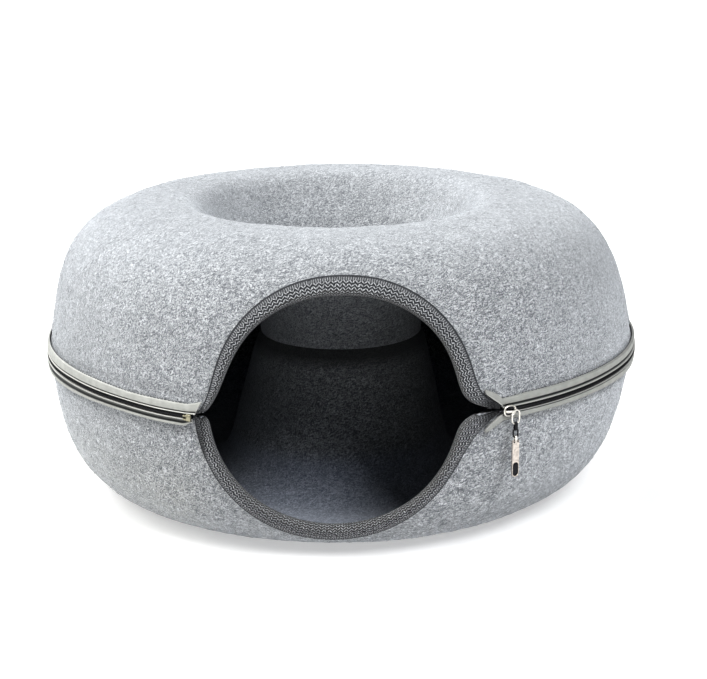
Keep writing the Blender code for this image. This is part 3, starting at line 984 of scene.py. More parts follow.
@dataclass
class Bindings:
    """Woven tape folded over each half's entrance edge, and the stitches that hold it.

    Attributes:
        skin: The felt's skin.
        weave: Its threads.
        thickness: Of the tape.
        wall: Of the felt inside it.
        edge_gap: Between the tape and the felt's outer skin and cut edge.
        inner_gap: Between the tape and the felt's inner skin.
        inner_share: Width of the inner leg as a share of the outer one.
        relief: Height of the weave.
        woven_points: Points of the section, from the free edge on, that have the relief.
        stations: Steps along the tape.
        cut_size: Width and length of the flat tape.
        stitch_pitch: From one stitch to the next.
        stitch_inset: Of the stitches, from the tape's free edge.
        stitch_radius: Of the sewing thread.
    """

    skin: FeltSkin
    weave: Weave
    thickness: float = 0.0012
    wall: float = 0.004
    edge_gap: float = 0.0005
    inner_gap: float = 0.0008
    inner_share: float = 0.8
    relief: float = 0.00038
    woven_points: int = 40
    stations: int = 620
    cut_size: Pair = (0.026, 0.31)
    stitch_pitch: float = 0.0031
    stitch_inset: float = 0.0013
    stitch_radius: float = 0.00022

    def lines(self, half: Half, count: int) -> tuple[Array, Array]:
        """The cut's line and the tape's outer line in the front view.

        Args:
            half: Which half.
            count: How many points.

        Returns:
            Both lines, each count x 2, with even steps along the two together.
        """
        shapes = (CUTS[half], BINDING_EDGES[half])
        both = [shape.points(half, self.skin.zip_height, 400) for shape in shapes]
        spaced = resampled(np.concatenate(both, axis=1), count)
        return spaced[:, :2], spaced[:, 2:]

    def section(self, width: Array) -> tuple[Array, Array, Array]:
        """Loop round the tape's section at each station.

        The outer leg runs in from its free edge, the fold is half an ellipse round the felt's
        edge, the inner leg runs back, and the tape's back follows both legs to close the loop.

        Args:
            width: The outer leg's width at each station.

        Returns:
            Distance across the tape from the cut (below 0 past it), height off the skin, and
            distance round from the free edge, each as stations x points.
        """
        gap, thick = self.edge_gap, self.thickness
        outside, inside = gap + thick, -self.wall - self.inner_gap
        leg = np.linspace(1.0, 0.0, 26)
        rounding = 1.0 - 0.75 * smooth_step(leg, 0.90, 1.0)
        turn = np.linspace(0.0, np.pi, 12)[1:-1]
        inner_leg = np.linspace(0.0, self.inner_share, 8)
        back_turn = np.linspace(np.pi, 0.0, 6)[1:-1]
        middle, half = (outside + inside - thick) / 2, (outside - inside + thick) / 2
        back_middle, back_half = (gap + inside) / 2, (gap - inside) / 2
        bow, back_bow = np.sin(turn) ** 0.7, np.sin(back_turn) ** 0.7
        parts = (
            together(leg, 0.0, gap + thick * rounding),
            together(0.0, -outside * bow, middle + half * np.cos(turn)),
            together(inner_leg, 0.0, inside - thick),
            together(inner_leg[::-1], 0.0, inside),
            together(0.0, -gap * back_bow, back_middle + back_half * np.cos(back_turn)),
            together(leg[::-5][:-1], 0.0, gap),
        )
        share, shift, depth = np.concatenate(parts).T
        lateral = share * width[:, None] + shift
        depth = np.broadcast_to(depth, lateral.shape)
        return lateral, depth, run_along(together(lateral, depth))

    def tape(self, half: Half) -> MeshDraft:
        """One binding, with 1 as its tint in the fold and 0 on its outer leg.

        Each point is the cut's line plus the way across the tape, laid on the felt's skin and
        lifted by the section's height and the weave's relief.

        Args:
            half: Which half.

        Returns:
            A draft that holds the tape.
        """
        near, far = self.lines(half, self.stations)
        lateral, depth, run = self.section(np.linalg.norm(far - near, axis=1))
        along = run_along(near)[:, None]
        woven = np.arange(depth.shape[1]) < self.woven_points
        relief = self.relief * (self.weave.height(along, run) - 0.5)
        place = near[:, None, :] + unit(far - near)[:, None, :] * lateral[..., None]
        lift = depth + np.where(woven, relief, 0.0)
        uv = together(along, run)
        uv = np.concatenate([uv, uv[:, -1:] + [0.0, 0.002]], axis=1)
        folded = 1.0 - smooth_step(lateral, -0.0006, 0.0008)
        draft = MeshDraft()
        draft.tube(self.skin.front(place[..., 0], place[..., 1], lift), uv, folded)
        return draft

    def stitches(self, half: Half) -> MeshDraft:
        """A row of stitches just inside the tape's free edge.

        Each is a wire over the middle of its step, and it sinks into the tape at both ends.

        Args:
            half: Which half.

        Returns:
            A draft that holds them all.
        """
        near, far = self.lines(half, 400)
        line = far + unit(near - far) * self.stitch_inset
        line = resampled(line, 1 + int(run_along(line)[-1] / self.stitch_pitch))
        middle, step = (line[1:] + line[:-1]) / 2, (line[1:] - line[:-1])
        share = np.linspace(-1.0, 1.0, 6)
        place = middle[:, None] + (step * 0.36)[:, None] * share[:, None]
        lift = self.edge_gap + self.thickness * 0.75 + 0.00034 * (1.0 - share**4)
        lift = np.broadcast_to(lift, place.shape[:2])
        path = self.skin.front(place[..., 0], place[..., 1], lift)
        draft = MeshDraft()
        draft.tube(wire_sections(path, self.stitch_radius, 5))
        return draft

    def build(self, tape: Material, thread: Material) -> None:
        """Builds both bindings and their stitches.

        Args:
            tape: Finish of the tape.
            thread: Finish of the stitches.
        """
        for half in Half:
            name = f"{half.value}_binding"
            piece = self.tape(half).piece(f"{name}_tape")
            dressed(piece, tape, [name])
            stitches = self.stitches(half).piece(f"{name}_stitches")
            dressed(stitches, thread)


# ------------------------------------------------------------------ zip
@dataclass
class ZipFastener:
    """Tapes, coil, core and stitches, the long way round from the slider to the left end.

    Attributes:
        skin: The felt's skin.
        tape_low: Lower edge of a tape, from the zip plane.
        tape_high: Its higher edge.
        tape_gap: Between the tape and the felt.
        tape_end: Azimuth where both tapes turn away at the right.
        starts: Azimuth of each tape's left end in degrees.
        turns: For each half, (azimuth, lower edge, higher edge) of the free end.
        trims: For each half, (azimuth, how much wider the strip is sewn there).
        ridge: Place across the tape and width of the ridge beside the coil.
        cut_size: Width and length of the flat tape.
        coil_pitch: From one tooth to the next.
        coil_radius: Of the coil's middle round the doughnut's axis.
        chain_start: Azimuth of the coil's left end.
        chain_end: Azimuth of its right end, at the slider.
        stitch_pitch: From one stitch to the next.
        stitch_radius: Of the sewing thread.
        dip: How far the zip sags in front, and what the left end and both sides add.
        dip_slope: How far outwards it moves for each metre that it sags.
    """

    skin: FeltSkin
    tape_low: float = 0.0017
    tape_high: float = 0.0084
    tape_gap: float = 0.0005
    tape_end: float = 28.7
    starts: dict[Half, float] = field(
        default_factory=lambda: {Half.UPPER: -25.9, Half.LOWER: -26.4}
    )
    turns: dict[Half, tuple[Triple, ...]] = field(
        default_factory=lambda: {
            Half.UPPER: (
                (25.5, 0.0147, 0.0171), (26.2, 0.0120, 0.0158), (27.0, 0.0092, 0.0143),
                (27.8, 0.0066, 0.0124), (28.4, 0.0042, 0.0102),
            ),
            Half.LOWER: (
                (25.4, 0.0122, 0.0156), (26.1, 0.0094, 0.0148), (27.0, 0.0066, 0.0128),
                (27.9, 0.0038, 0.0100),
            ),
        }
    )
    trims: dict[Half, tuple[Pair, ...]] = field(
        default_factory=lambda: {
            Half.UPPER: (
                (28.7, 0.0), (34.0, 0.0012), (56.0, 0.0013), (80.0, 0.0003), (270.0, 0.0004),
                (299.0, 0.0013), (310.0, 0.0009), (320.0, -0.0006), (334.0, -0.0010),
            ),
            Half.LOWER: (
                (28.7, -0.0004), (34.0, -0.0015), (50.0, -0.0013), (66.0, 0.0), (270.0, 0.0006),
                (292.0, 0.0015), (300.0, 0.0012), (312.0, 0.0), (334.0, -0.0004),
            ),
        }
    )
    ridge: Pair = (0.00062, 0.00052)
    cut_size: Pair = (0.010, 1.33)
    coil_pitch: float = 0.0013
    coil_radius: float = 0.2478
    chain_start: float = -26.4
    chain_end: float = 31.0
    stitch_pitch: float = 0.0034
    stitch_radius: float = 0.00024
    dip: Triple = (0.0009, 0.0009, 0.0010)
    dip_slope: float = 0.4

    def sag(self, azimuth: Array) -> Array:
        """How far the coil and the lower tape hang below the zip plane.

        One part all over the front, one more at the left end and one more at both sides, each
        with smooth steps in degrees, and none at the back.

        Args:
            azimuth: Degrees from the front towards +X, of any whole turn.

        Returns:
            The drop in metres.
        """
        front, end, sides = self.dip
        turned = np.abs(np.mod(azimuth + 180.0, 360.0) - 180.0)
        from_end = np.mod(self.chain_start - azimuth + 20.0, 360.0) - 20.0
        drop = front + end * (1.0 - smooth_step(from_end, 5.0, 18.0))
        drop = drop + sides * smooth_step(turned, 56.0, 74.0)
        return drop * (1.0 - smooth_step(turned, 90.0, 135.0))

    def trim(self, half: Half, azimuth: Array) -> Array:
        """How much wider one tape's strip is sewn at these azimuths."""
        return np.interp(azimuth, *np.array(self.trims[half]).T)

    def tape_path(self, half: Half) -> tuple[Array, Array, Array, Array]:
        """Where one tape runs: its free end by the table of turns, and then round the felt.

        Over the last 2.6 degrees at the left the upper tape widens and the lower one narrows,
        by the square of a smooth step.

        Args:
            half: Which tape.

        Returns:
            Azimuth, lower edge, higher edge and that smooth step at each station.
        """
        start = self.starts[half] + 360.0
        table = np.array([*self.turns[half], (self.tape_end, self.tape_low, self.tape_high)])
        metres = np.array([0.0044, 1.0, 1.0])
        turn = (resampled(table * metres, 40) / metres)[:-1]
        stations = np.linspace(self.tape_end, start, 960)
        azimuth = np.concatenate([turn[:, 0], stations])
        low = np.concatenate([turn[:, 1], np.full(len(stations), self.tape_low)])
        high = np.concatenate([turn[:, 2], np.full(len(stations), self.tape_high)])
        drawn = smooth_step(azimuth, start - 2.6, start)
        high = high + (0.0030 if half is Half.UPPER else -0.0036) * drawn**2
        return azimuth, low, high + self.trim(half, azimuth), drawn

    def tape_form(self, half: Half, azimuth: Array, across: Array) -> tuple[Array, Array]:
        """Height of one tape's face, and its painted shade.

        From the coil outwards there is a ridge, a groove and a broad strip that rounds off. The
        height is the strip's smooth step times a gentle crown, plus a bell for the ridge. On
        the left side the lower tape's groove is broad and the upper one's narrow, and on the
        right it is the other way round: the width follows the sine of the azimuth. The free
        end is plain.

        Args:
            half: Which tape.
            azimuth: Of each station, stations x 1.
            across: Place across the tape, from 0 at the coil to 1.

        Returns:
            The height over the tape's back, and from 0 to 1 the painted shade, the larger of the
            groove's painted shadow and a slight painted shade on the front and right, each stations
            x places.
        """
        reach = across * (self.tape_high - self.tape_low)
        leftness = smooth_step(-np.sin(np.radians(azimuth)), -0.2, 0.4)
        lean = 0.0
        groove_width = 0.00045 + 0.00240 * leftness
        if half is Half.UPPER:
            groove_width = 0.00125 - 0.00080 * leftness
            lean = 0.00065 * (1.0 - leftness) * (reach - 0.0040) / 0.0027
        far = 0.00120 + groove_width
        strip = smooth_step(reach, far - 0.0004, far + 0.0005)
        strip = strip * (1.0 - 0.18 * ((reach - 0.0041) / 0.0030) ** 2) + strip * lean / 0.0014
        sewn = smooth_step(azimuth, self.tape_end - 0.5, self.tape_end + 0.5)
        strip = 1.0 + (strip - 1.0) * sewn
        ridge = bell(reach, *self.ridge)
        rise = 0.00050 + 0.00140 * strip + 0.00150 * ridge * sewn
        rise = rise * smooth_step(across, -0.04, 0.03)
        rise = rise * (1.0 - 0.75 * smooth_step(across, 0.92, 1.0))
        # The groove's darkness is painted shadow, and the front and right side get a slight painted
        # shade.
        groove = smooth_step(reach, 0.00105, 0.00130)
        groove = groove * (1.0 - smooth_step(reach, far - 0.0001, far + 0.0004))
        if half is Half.LOWER:
            groove = groove * (1.0 - 0.60 * leftness * (1.0 - smooth_step(reach, 0.0013, 0.0036)))
        dull_and_painted_shade = (1.0 - smooth_step(azimuth, 90.0, 140.0)) * (0.21 + 0.07 * ridge)
        return rise, np.maximum(groove * sewn, dull_and_painted_shade)

    def tape(self, half: Half) -> MeshDraft:
        """One tape: its face, closed by every seventh point of it as a flat back.

        Args:
            half: Which tape.

        Returns:
            A draft that holds the tape, with its painted shade as its tint.
        """
        azimuth, low, high, drawn = (part[:, None] for part in self.tape_path(half))
        across = np.linspace(0.0, 1.0, 29)
        rise, dark = self.tape_form(half, azimuth, across)
        behind = across[::-7]
        round_across = np.concatenate([across, behind])
        flat = np.zeros((len(azimuth), len(behind)))
        rise, dark = (np.concatenate([part, flat], axis=1) for part in (rise, dark))
        pull = 1.3 if half is Half.UPPER else 0.0
        turned = azimuth + pull * round_across * drawn
        height = self.skin.zip_height + half.sign * (low + (high - low) * round_across)
        sag = self.sag(turned)
        if half is Half.UPPER:
            sag = sag * (1.0 - round_across)
        radius = self.skin.radius(height) + self.tape_gap + rise + self.dip_slope * sag
        reach = self.tape_high - self.tape_low
        side = np.concatenate([across * reach, behind * reach + 0.01])
        uv = together(np.radians(azimuth) * self.skin.edge_radius, side)
        draft = MeshDraft()
        uv = np.concatenate([uv, uv[:, -1:]], axis=1)
        draft.tube(self.skin.turned(turned, radius, height - sag), uv, dark)
        return draft

    def teeth(self) -> MeshDraft:
        """Both rows of coil, meshed. Their tint is a painted highlight, how much lighter each part
        looks.

        Each tooth is a flattened wire that climbs from its tape, bends over towards the other
        row and ends in a rounded head just past the middle. The rows are half a pitch apart.
        """
        sweep = 360.0 - (self.chain_end - self.chain_start)
        count = int(math.radians(sweep) * self.coil_radius / self.coil_pitch)
        height = np.array([0.00160, 0.00142, 0.00076, -0.00005, -0.00042])
        outwards = np.array([-0.00010, 0.00050, 0.00112, 0.00122, 0.00090])
        thick = np.array([0.00030, 0.00036, 0.00038, 0.00046, 0.00022])[:, None]
        # Painted highlight along each tooth.
        painted_highlight = np.array([0.35, 0.12, 0.1, 0.7, 1.0])[:, None]
        climb = unit(together(np.gradient(height), np.gradient(outwards)))
        angle = ring_angles(5)
        slide = np.cos(angle) * thick * 1.12
        lift = np.sin(angle) * thick
        up = height[:, None] - lift * climb[:, 1:]
        out = outwards[:, None] - lift * climb[:, :1]
        draft = MeshDraft()
        for half, offset in zip(Half, (0.0, 0.5)):
            azimuth = self.chain_end + sweep * (np.arange(count) + 0.25 + offset) / count
            turned = azimuth[:, None, None] + np.degrees(slide / self.coil_radius)
            sag = self.sag(turned)
            level = self.skin.zip_height + half.sign * up - sag
            radius = self.coil_radius + out + self.dip_slope * sag
            points = self.skin.turned(turned, radius, level, leaned=False)
            if half is Half.LOWER:
                points = points[..., ::-1, :]
            # The caps get the full painted highlight.
            draft.tube(points, tint=painted_highlight, end_tint=1.0)
        return draft

    def core(self) -> MeshDraft:
        """The woven core under the coil: a flat band with rounded edges."""
        azimuth = np.linspace(self.chain_end, 360.0 + self.chain_start, 600)[:, None]
        angle = ring_angles(20)
        out = 0.00085 * squared_off(np.sin(angle), 0.6)
        up = 0.00145 * squared_off(np.cos(angle), 0.6)
        sag = self.sag(azimuth)
        radius = self.coil_radius - 0.0006 + out + self.dip_slope * sag
        height = self.skin.zip_height + up - sag
        draft = MeshDraft()
        draft.tube(self.skin.turned(azimuth, radius, height, leaned=False))
        return draft

    def stitches(self) -> MeshDraft:
        """A row of stitches along the outer edge of each tape, each 0.68 of its step long."""
        draft = MeshDraft()
        share = np.linspace(-1.0, 1.0, 6)
        for half in Half:
            start = self.starts[half] + 359.0
            length = math.radians(start - self.tape_end) * self.skin.edge_radius
            count = int(length / self.stitch_pitch)
            step = (start - self.tape_end) / count
            middle = self.tape_end + step * (np.arange(count) + 0.5)
            azimuth = middle[:, None] + step * 0.34 * share
            high = self.tape_high + 0.00012 + self.trim(half, azimuth)
            height = self.skin.zip_height + half.sign * high
            radius = self.skin.radius(height) + self.tape_gap + 0.0002 + 0.0002 * (1.0 - share**4)
            sag = 0.0 if half is Half.UPPER else self.sag(azimuth)
            path = self.skin.turned(azimuth, radius + self.dip_slope * sag, height - sag)
            draft.tube(wire_sections(path, self.stitch_radius, 5))
        return draft

    def build(self, tape: Material, coil: Material, thread: Material) -> None:
        """Builds the tapes, the coil, its core and the stitches.

        Args:
            tape: Finish of the tapes.
            coil: Finish of the coil and its core.
            thread: Finish of the stitches.
        """
        for half in Half:
            piece = self.tape(half).piece(f"zip_tape_{half.value}_cloth")
            dressed(piece, tape, [f"zip_tape_{half.value}"])
        dressed(self.teeth().piece("zip_coil_teeth"), coil, ["zip_chain"])
        dressed(self.core().piece("zip_coil_core"), coil)
        dressed(self.stitches().piece("zip_stitches"), thread)


# ------------------------------------------------------------------ slider, pull and stop
class Metal(Enum):
    """The metals of the slider, the pull and the stop."""

    BRIGHT = "bright"
    NICKEL = "nickel"
    DARK = "dark"
    BRASS = "brass"

    @property
    def slot(self) -> str:
        """The record's slot that this metal belongs to."""
        return {"bright": "nickel", "dark": "dark_nickel"}.get(self.value, self.value)


@dataclass
class Hardware:
    """Slider with its bail, the pull's ring, connector, link and tab, and the end stop.

    Their shapes are drawn flat, x along the zip, y inwards and z up, and then seated on the
    chain at an azimuth.

    Attributes:
        skin: The felt's skin.
        metals: Their finishes.
        chain_outer: Radius of the chain's front.
        slider_azimuth: Where the slider stands.
        slider_drop: How far under the zip plane it sits.
        clear: Between pieces that touch.
        plate: Length, height and thickness of the slider's plate.
        squareness: Power that squares its outline off.
        bail_span: Length of the bail.
        bail_rise: How far it stands off the plate.
        ring_centre: Middle of the pull's ring, along and up.
        ring_half: Half the ring's width and height.
        connector_half: The same for the connector.
        link_half: The same for the link.
        eye_half: The same for the tab's eye.
        link_bite: How far each loop reaches into the next one.
        tab: Width, length and thickness of the tab.
        stop_azimuth: Where the end stop stands.
        stop_size: Its length, thickness and height.
        stop_sag: How far under the zip plane it sits.
    """

    skin: FeltSkin
    metals: dict[Metal, Material]
    chain_outer: float = 0.2500
    slider_azimuth: float = 29.75
    slider_drop: float = 0.0009
    clear: float = 0.0003
    plate: Triple = (0.0112, 0.0086, 0.0017)
    squareness: float = 0.8
    bail_span: float = 0.0078
    bail_rise: float = 0.0028
    ring_centre: Pair = (0.0044, -0.0051)
    ring_half: Pair = (0.0033, 0.0054)
    connector_half: Pair = (0.0011, 0.0031)
    link_half: Pair = (0.0021, 0.0034)
    eye_half: Pair = (0.0011, 0.0019)
    link_bite: float = 0.0012
    tab: Triple = (0.0062, 0.0290, 0.0018)
    stop_azimuth: float = -26.95
    stop_size: Triple = (0.0062, 0.0017, 0.0056)
    stop_sag: float = 0.0018

    def seated(self, points: Array, azimuth: float, height: float, depth: float = 0.0) -> Array:
        """Turns drawn points by the azimuth and moves them on to the chain.

        Args:
            points: ... x 3, as drawn.
            azimuth: Degrees from the front towards +X.
            height: Of the drawing's origin.
            depth: How far in front of the chain that origin stands.

        Returns:
            The points in the object's frame.
        """
        angle = math.radians(azimuth)
        cosine, sine = math.cos(angle), math.sin(angle)
        reach = self.chain_outer + depth
        x = points[..., 0] * cosine - points[..., 1] * sine + reach * sine
        y = points[..., 0] * sine + points[..., 1] * cosine - reach * cosine + self.skin.axis_y
        return together(x, y, points[..., 2] + height)

    def on_slider(self, points: Array) -> Array:
        """Seats drawn points at the slider."""
        height = self.skin.zip_height - self.slider_drop
        return self.seated(points, self.slider_azimuth, height)

    def stacked(self, outline: Array, share: Array, y: Array) -> Array:
        """Rings of one outline.

        Args:
            outline: Its points in x and z.
            share: How large each ring is.
            y: Where each ring lies.

        Returns:
            rings x points x 3.
        """
        size = share[:, None]
        return together(outline[:, 0] * size, y[:, None], outline[:, 1] * size)

    def solid(self, rings: Array) -> MeshDraft:
        """Skins a stack of rings, closes both ends and seats it at the slider."""
        draft = MeshDraft()
        draft.tube(self.on_slider(rings))
        return draft

    def oval(self, half: Pair, centre: Array, edgewise: bool, count: int = 40) -> Array:
        """A long loop with half-round ends.

        Each point is at half * (cos, sin), its height moved up or down by the straight length.

        Args:
            half: Half its width and half its height.
            centre: Its middle.
            edgewise: Whether its width lies along y.
            count: Points in it.

        Returns:
            count x 3 points.
        """
        angle = (np.arange(count) + 0.5) * 2 * np.pi / count
        across = half[0] * np.cos(angle)
        up = min(half) * np.sin(angle)
        up = up + np.sign(up) * max(half[1] - half[0], 0.0)
        return centre + (together(0.0, across, up) if edgewise else together(across, 0.0, up))

    def loop(self, path: Array, radius: Pair, sides: int = 12) -> MeshDraft:
        """A closed wire of oval section.

        Args:
            path: The loop's middle line.
            radius: Half its section in the loop's plane, and square to it.
            sides: Points in its section.

        Returns:
            A draft that holds it.
        """
        closed = np.concatenate([path[-1:], path, path[:1]])
        middle = path.mean(axis=0)
        plane = unit(np.cross(path[0] - middle, path[len(path) // 4] - middle))
        beside = unit(np.cross(tangents(closed)[1:-1], plane))
        angle = ring_angles(sides)[:, None]
        ring = beside[:, None] * (np.cos(angle) * radius[0]) + plane * (np.sin(angle) * radius[1])
        draft = MeshDraft()
        draft.grid(self.on_slider(path[:, None] + ring), (True, True))
        return draft

    def slider_plate(self) -> tuple[MeshDraft, MeshDraft]:
        """The slider's plate and the dark floor in its dished middle.

        The plate's face is a table of (share of the outline, height), so that its rim stands
        proud.
        """
        length, width, thick = self.plate
        angle = ring_angles(56)
        x = squared_off(np.cos(angle), self.squareness) * length / 2
        z = squared_off(np.sin(angle), self.squareness) * width / 2
        outline = together(x, z)
        face = (
            (0.80, 0.00), (0.97, 0.00), (1.00, 0.12), (1.00, 0.62), (0.97, 0.88), (0.90, 1.00),
            (0.83, 0.96), (0.77, 0.80), (0.74, 0.50), (0.60, 0.30), (0.25, 0.28),
        )
        share, level = np.array(face).T
        body = self.solid(self.stacked(outline, share, -self.clear - thick * level))
        return body, self.solid(self.inlay(outline * 0.745, -self.clear, thick))

    def bail(self) -> MeshDraft:
        """The bail: a strap as tall as it is thick 1.9 times, risen by the root of a sine."""
        turn = np.linspace(0.0, np.pi, 22)
        bow = np.sqrt(np.maximum(np.sin(turn), 0.0))
        surface = -self.clear - self.plate[2] * 0.55
        y = surface - self.bail_rise * bow * 1.04
        path = together(-np.cos(turn) * self.bail_span / 2, y, 0.0)
        section = wire_sections(path, 0.00050, 12, np.array([0.0, 0.0, 1.0]))
        return self.solid(path[:, None] + (section - path[:, None]) * [1.0, 1.0, 1.9])

    def nose(self) -> MeshDraft:
        """The slider's nose between the tapes: ovals whose girth is a power of a sine."""
        steps = np.linspace(0.0, 1.0, 12)[:, None]
        girth = np.sin(np.pi * (0.08 + 0.88 * steps)) ** 0.6
        sides = ring_angles(16)
        y, z = 0.0006 + 0.0013 * girth * np.sin(sides), 0.0011 * girth * np.cos(sides)
        return self.solid(together(-0.0092 + 0.0062 * steps, y, z))

    def inlay(self, outline: Array, y: float, thick: float) -> Array:
        """Rings of a thin dark floor that lies in a dished outline.

        Args:
            outline: The dish's points in x and z.
            y: Where the back of the dished part lies.
            thick: Its thickness.

        Returns:
            rings x points x 3.
        """
        share = np.array([0.4, 0.98, 1.0, 0.98, 0.4])
        level = np.array([0.30, 0.30, 0.42, 0.52, 0.52])
        return self.stacked(outline, share, y - thick * level)

    def tab_drafts(self, centre: Array) -> list[MeshDraft]:
        """The flat tab with its dished lower end, the dish's dark floor and two rivets.

        Rings of one outline run from the back's middle round the bevelled edge to the face,
        and from there to the outline of the dished oval, which is the same curve carried by
        the same angles. Each table holds (share of its outline, height off the middle).

        Args:
            centre: Middle of the tab's upper edge.

        Returns:
            The tab, the floor and the rivets.
        """
        width, length, thick = self.tab
        angle = ring_angles(56) + np.pi / 2
        cosine, sine = np.cos(angle), np.sin(angle)
        corner, half = 0.0010, width / 2
        x = np.where(sine > 0.0, squared_off(cosine, 0.25) * half, cosine * half)
        top = (np.abs(sine) ** 0.25) * corner - corner
        z = np.where(sine > 0.0, top, sine * half - (length - half))
        middle, dish_z, dish_half = -length / 2, -length + 0.0061, (0.0025, 0.0054)
        straight = dish_half[1] - dish_half[0]
        dish = together(cosine * dish_half[0], sine * dish_half[0] + np.sign(sine) * straight)
        edge_rings = ((0.4, -1.0), (0.95, -1.0), (1.0, -0.7), (1.0, 0.6), (0.98, 0.88), (0.945, 1.0))
        dish_rings = ((1.1, 1.0), (1.0, 0.92), (0.92, 0.25), (0.45, 0.12))
        drawn = (
            (together(x, z - middle), edge_rings, middle),
            (dish, dish_rings, dish_z),
        )
        rings = []
        for outline, table, height in drawn:
            share, level = np.array(table).T
            rings.append(self.stacked(outline, share, -level * thick / 2) + [0.0, 0.0, height])
        drafts = [self.solid(np.concatenate(rings) + centre)]
        floor = self.inlay(dish, 0.0, thick / 2) + [0.0, 0.0, dish_z]
        drafts.append(self.solid(floor + centre))
        turn = ring_angles(14)
        girth = np.array([1.0, 1.0, 0.9, 0.5]) * 0.00062
        level = np.array([0.8, 1.0, 1.22, 1.32])
        rivet = self.stacked(together(np.cos(turn), np.sin(turn)), girth, -level * thick / 2)
        for side in (-1.0, 1.0):
            drafts.append(self.solid(rivet + [side * 0.0017, 0.0, -0.0014] + centre))
        return drafts

    def stop(self) -> MeshDraft:
        """The pressed end stop: a folded plate with two fingers over the last teeth.

        Its parts are given as (middle along, middle up, length, height, thickness).
        """
        along, out, up = self.stop_size
        finger, finger_z, finger_height = -0.0021, 0.00135, 0.0013
        parts = (
            (0.0009, 0.0, along * 0.66, up * 0.96, out),
            (finger, finger_z, along * 0.50, finger_height, out * 1.12),
            (finger, -finger_z, along * 0.50, finger_height, out * 1.12),
        )
        angle = ring_angles(32)
        x, z = squared_off(np.cos(angle), 0.35), squared_off(np.sin(angle), 0.35)
        share = np.array([0.6, 0.96, 1.0, 1.0, 0.93, 0.80, 0.4])
        depth = np.array([0.0, 0.0, 0.12, 0.70, 0.93, 1.0, 1.0])
        level = self.skin.zip_height - self.stop_sag
        draft = MeshDraft()
        for middle_x, middle_z, length, height, thick in parts:
            outline = together(x * length / 2, z * height / 2)
            rings = self.stacked(outline, share, -self.clear - depth * thick)
            rings = rings + [middle_x, 0.0, middle_z]
            draft.tube(self.seated(rings, self.stop_azimuth, level, 0.4 * self.stop_sag))
        return draft

    def plated(
        self, draft: MeshDraft, name: str, metal: Metal, solid: str = "", sharp_angle: float = 50.0
    ) -> None:
        """Makes a draft a piece of one metal.

        Args:
            draft: Its shape.
            name: The piece's name.
            metal: What it is made of.
            solid: Name of the solid that it stands for, if any.
            sharp_angle: Edges that bend more than this many degrees stay sharp.
        """
        piece = draft.piece(name, sharp_angle)
        dressed(piece, self.metals[metal], [solid] if solid else [])

    def build(self) -> None:
        """Builds the slider, the pull and the end stop."""
        body, recess = self.slider_plate()
        self.plated(body, "slider_plate", Metal.BRIGHT, "zip_slider")
        self.plated(recess, "slider_recess", Metal.DARK)
        self.plated(self.bail(), "slider_bail", Metal.BRIGHT)
        # The nose is dark metal as painted shade, for the shadowed gap between the tapes beside the
        # slider.
        self.plated(self.nose(), "slider_nose", Metal.DARK)
        wire = 0.00045
        ring_x, ring_z = self.ring_centre
        front = -self.clear - self.plate[2] - self.clear - wire
        connector_z = ring_z - self.ring_half[1] + self.link_bite - self.connector_half[1]
        link_z = connector_z - self.connector_half[1] + self.link_bite - self.link_half[1]
        eye_z = link_z - self.link_half[1] + self.link_bite - self.eye_half[1]
        forms = (
            (self.ring_half, ring_z, False, (0.00072, 0.00048)),
            (self.connector_half, connector_z, True, (wire, 0.0012)),
            (self.link_half, link_z, False, (0.00052, 0.00060)),
            (self.eye_half, eye_z, True, (wire, 0.0010)),
        )
        labels = (
            ("pull_ring_wire", Metal.BRIGHT, "pull_ring"),
            ("pull_connector_wire", Metal.DARK, "pull_connector"),
            ("pull_link_wire", Metal.DARK, "pull_link"),
            ("tab_eye", Metal.BRIGHT),
        )
        for (half, height, edgewise, radius), label in zip(forms, labels):
            path = self.oval(half, np.array([ring_x, front, height]), edgewise)
            self.plated(self.loop(path, radius), *label)
        tab_top = eye_z - self.eye_half[1] + wire
        tab, floor, *rivets = self.tab_drafts(np.array([ring_x, front, tab_top]))
        self.plated(tab, "pull_tab_plate", Metal.NICKEL, "pull_tab", 30.0)
        self.plated(floor, "tab_recess", Metal.DARK)
        for number, rivet in enumerate(rivets, 1):
            self.plated(rivet, f"tab_rivet_{number}", Metal.DARK)
        self.plated(self.stop(), "end_stop_plate", Metal.BRASS, "zip_end_stop")


# ------------------------------------------------------------------ finishes
def dimmed(colour: Triple, share: float) -> Triple:
    """A colour times a share; more than 1 makes it lighter."""
    return tuple(share * part for part in colour)


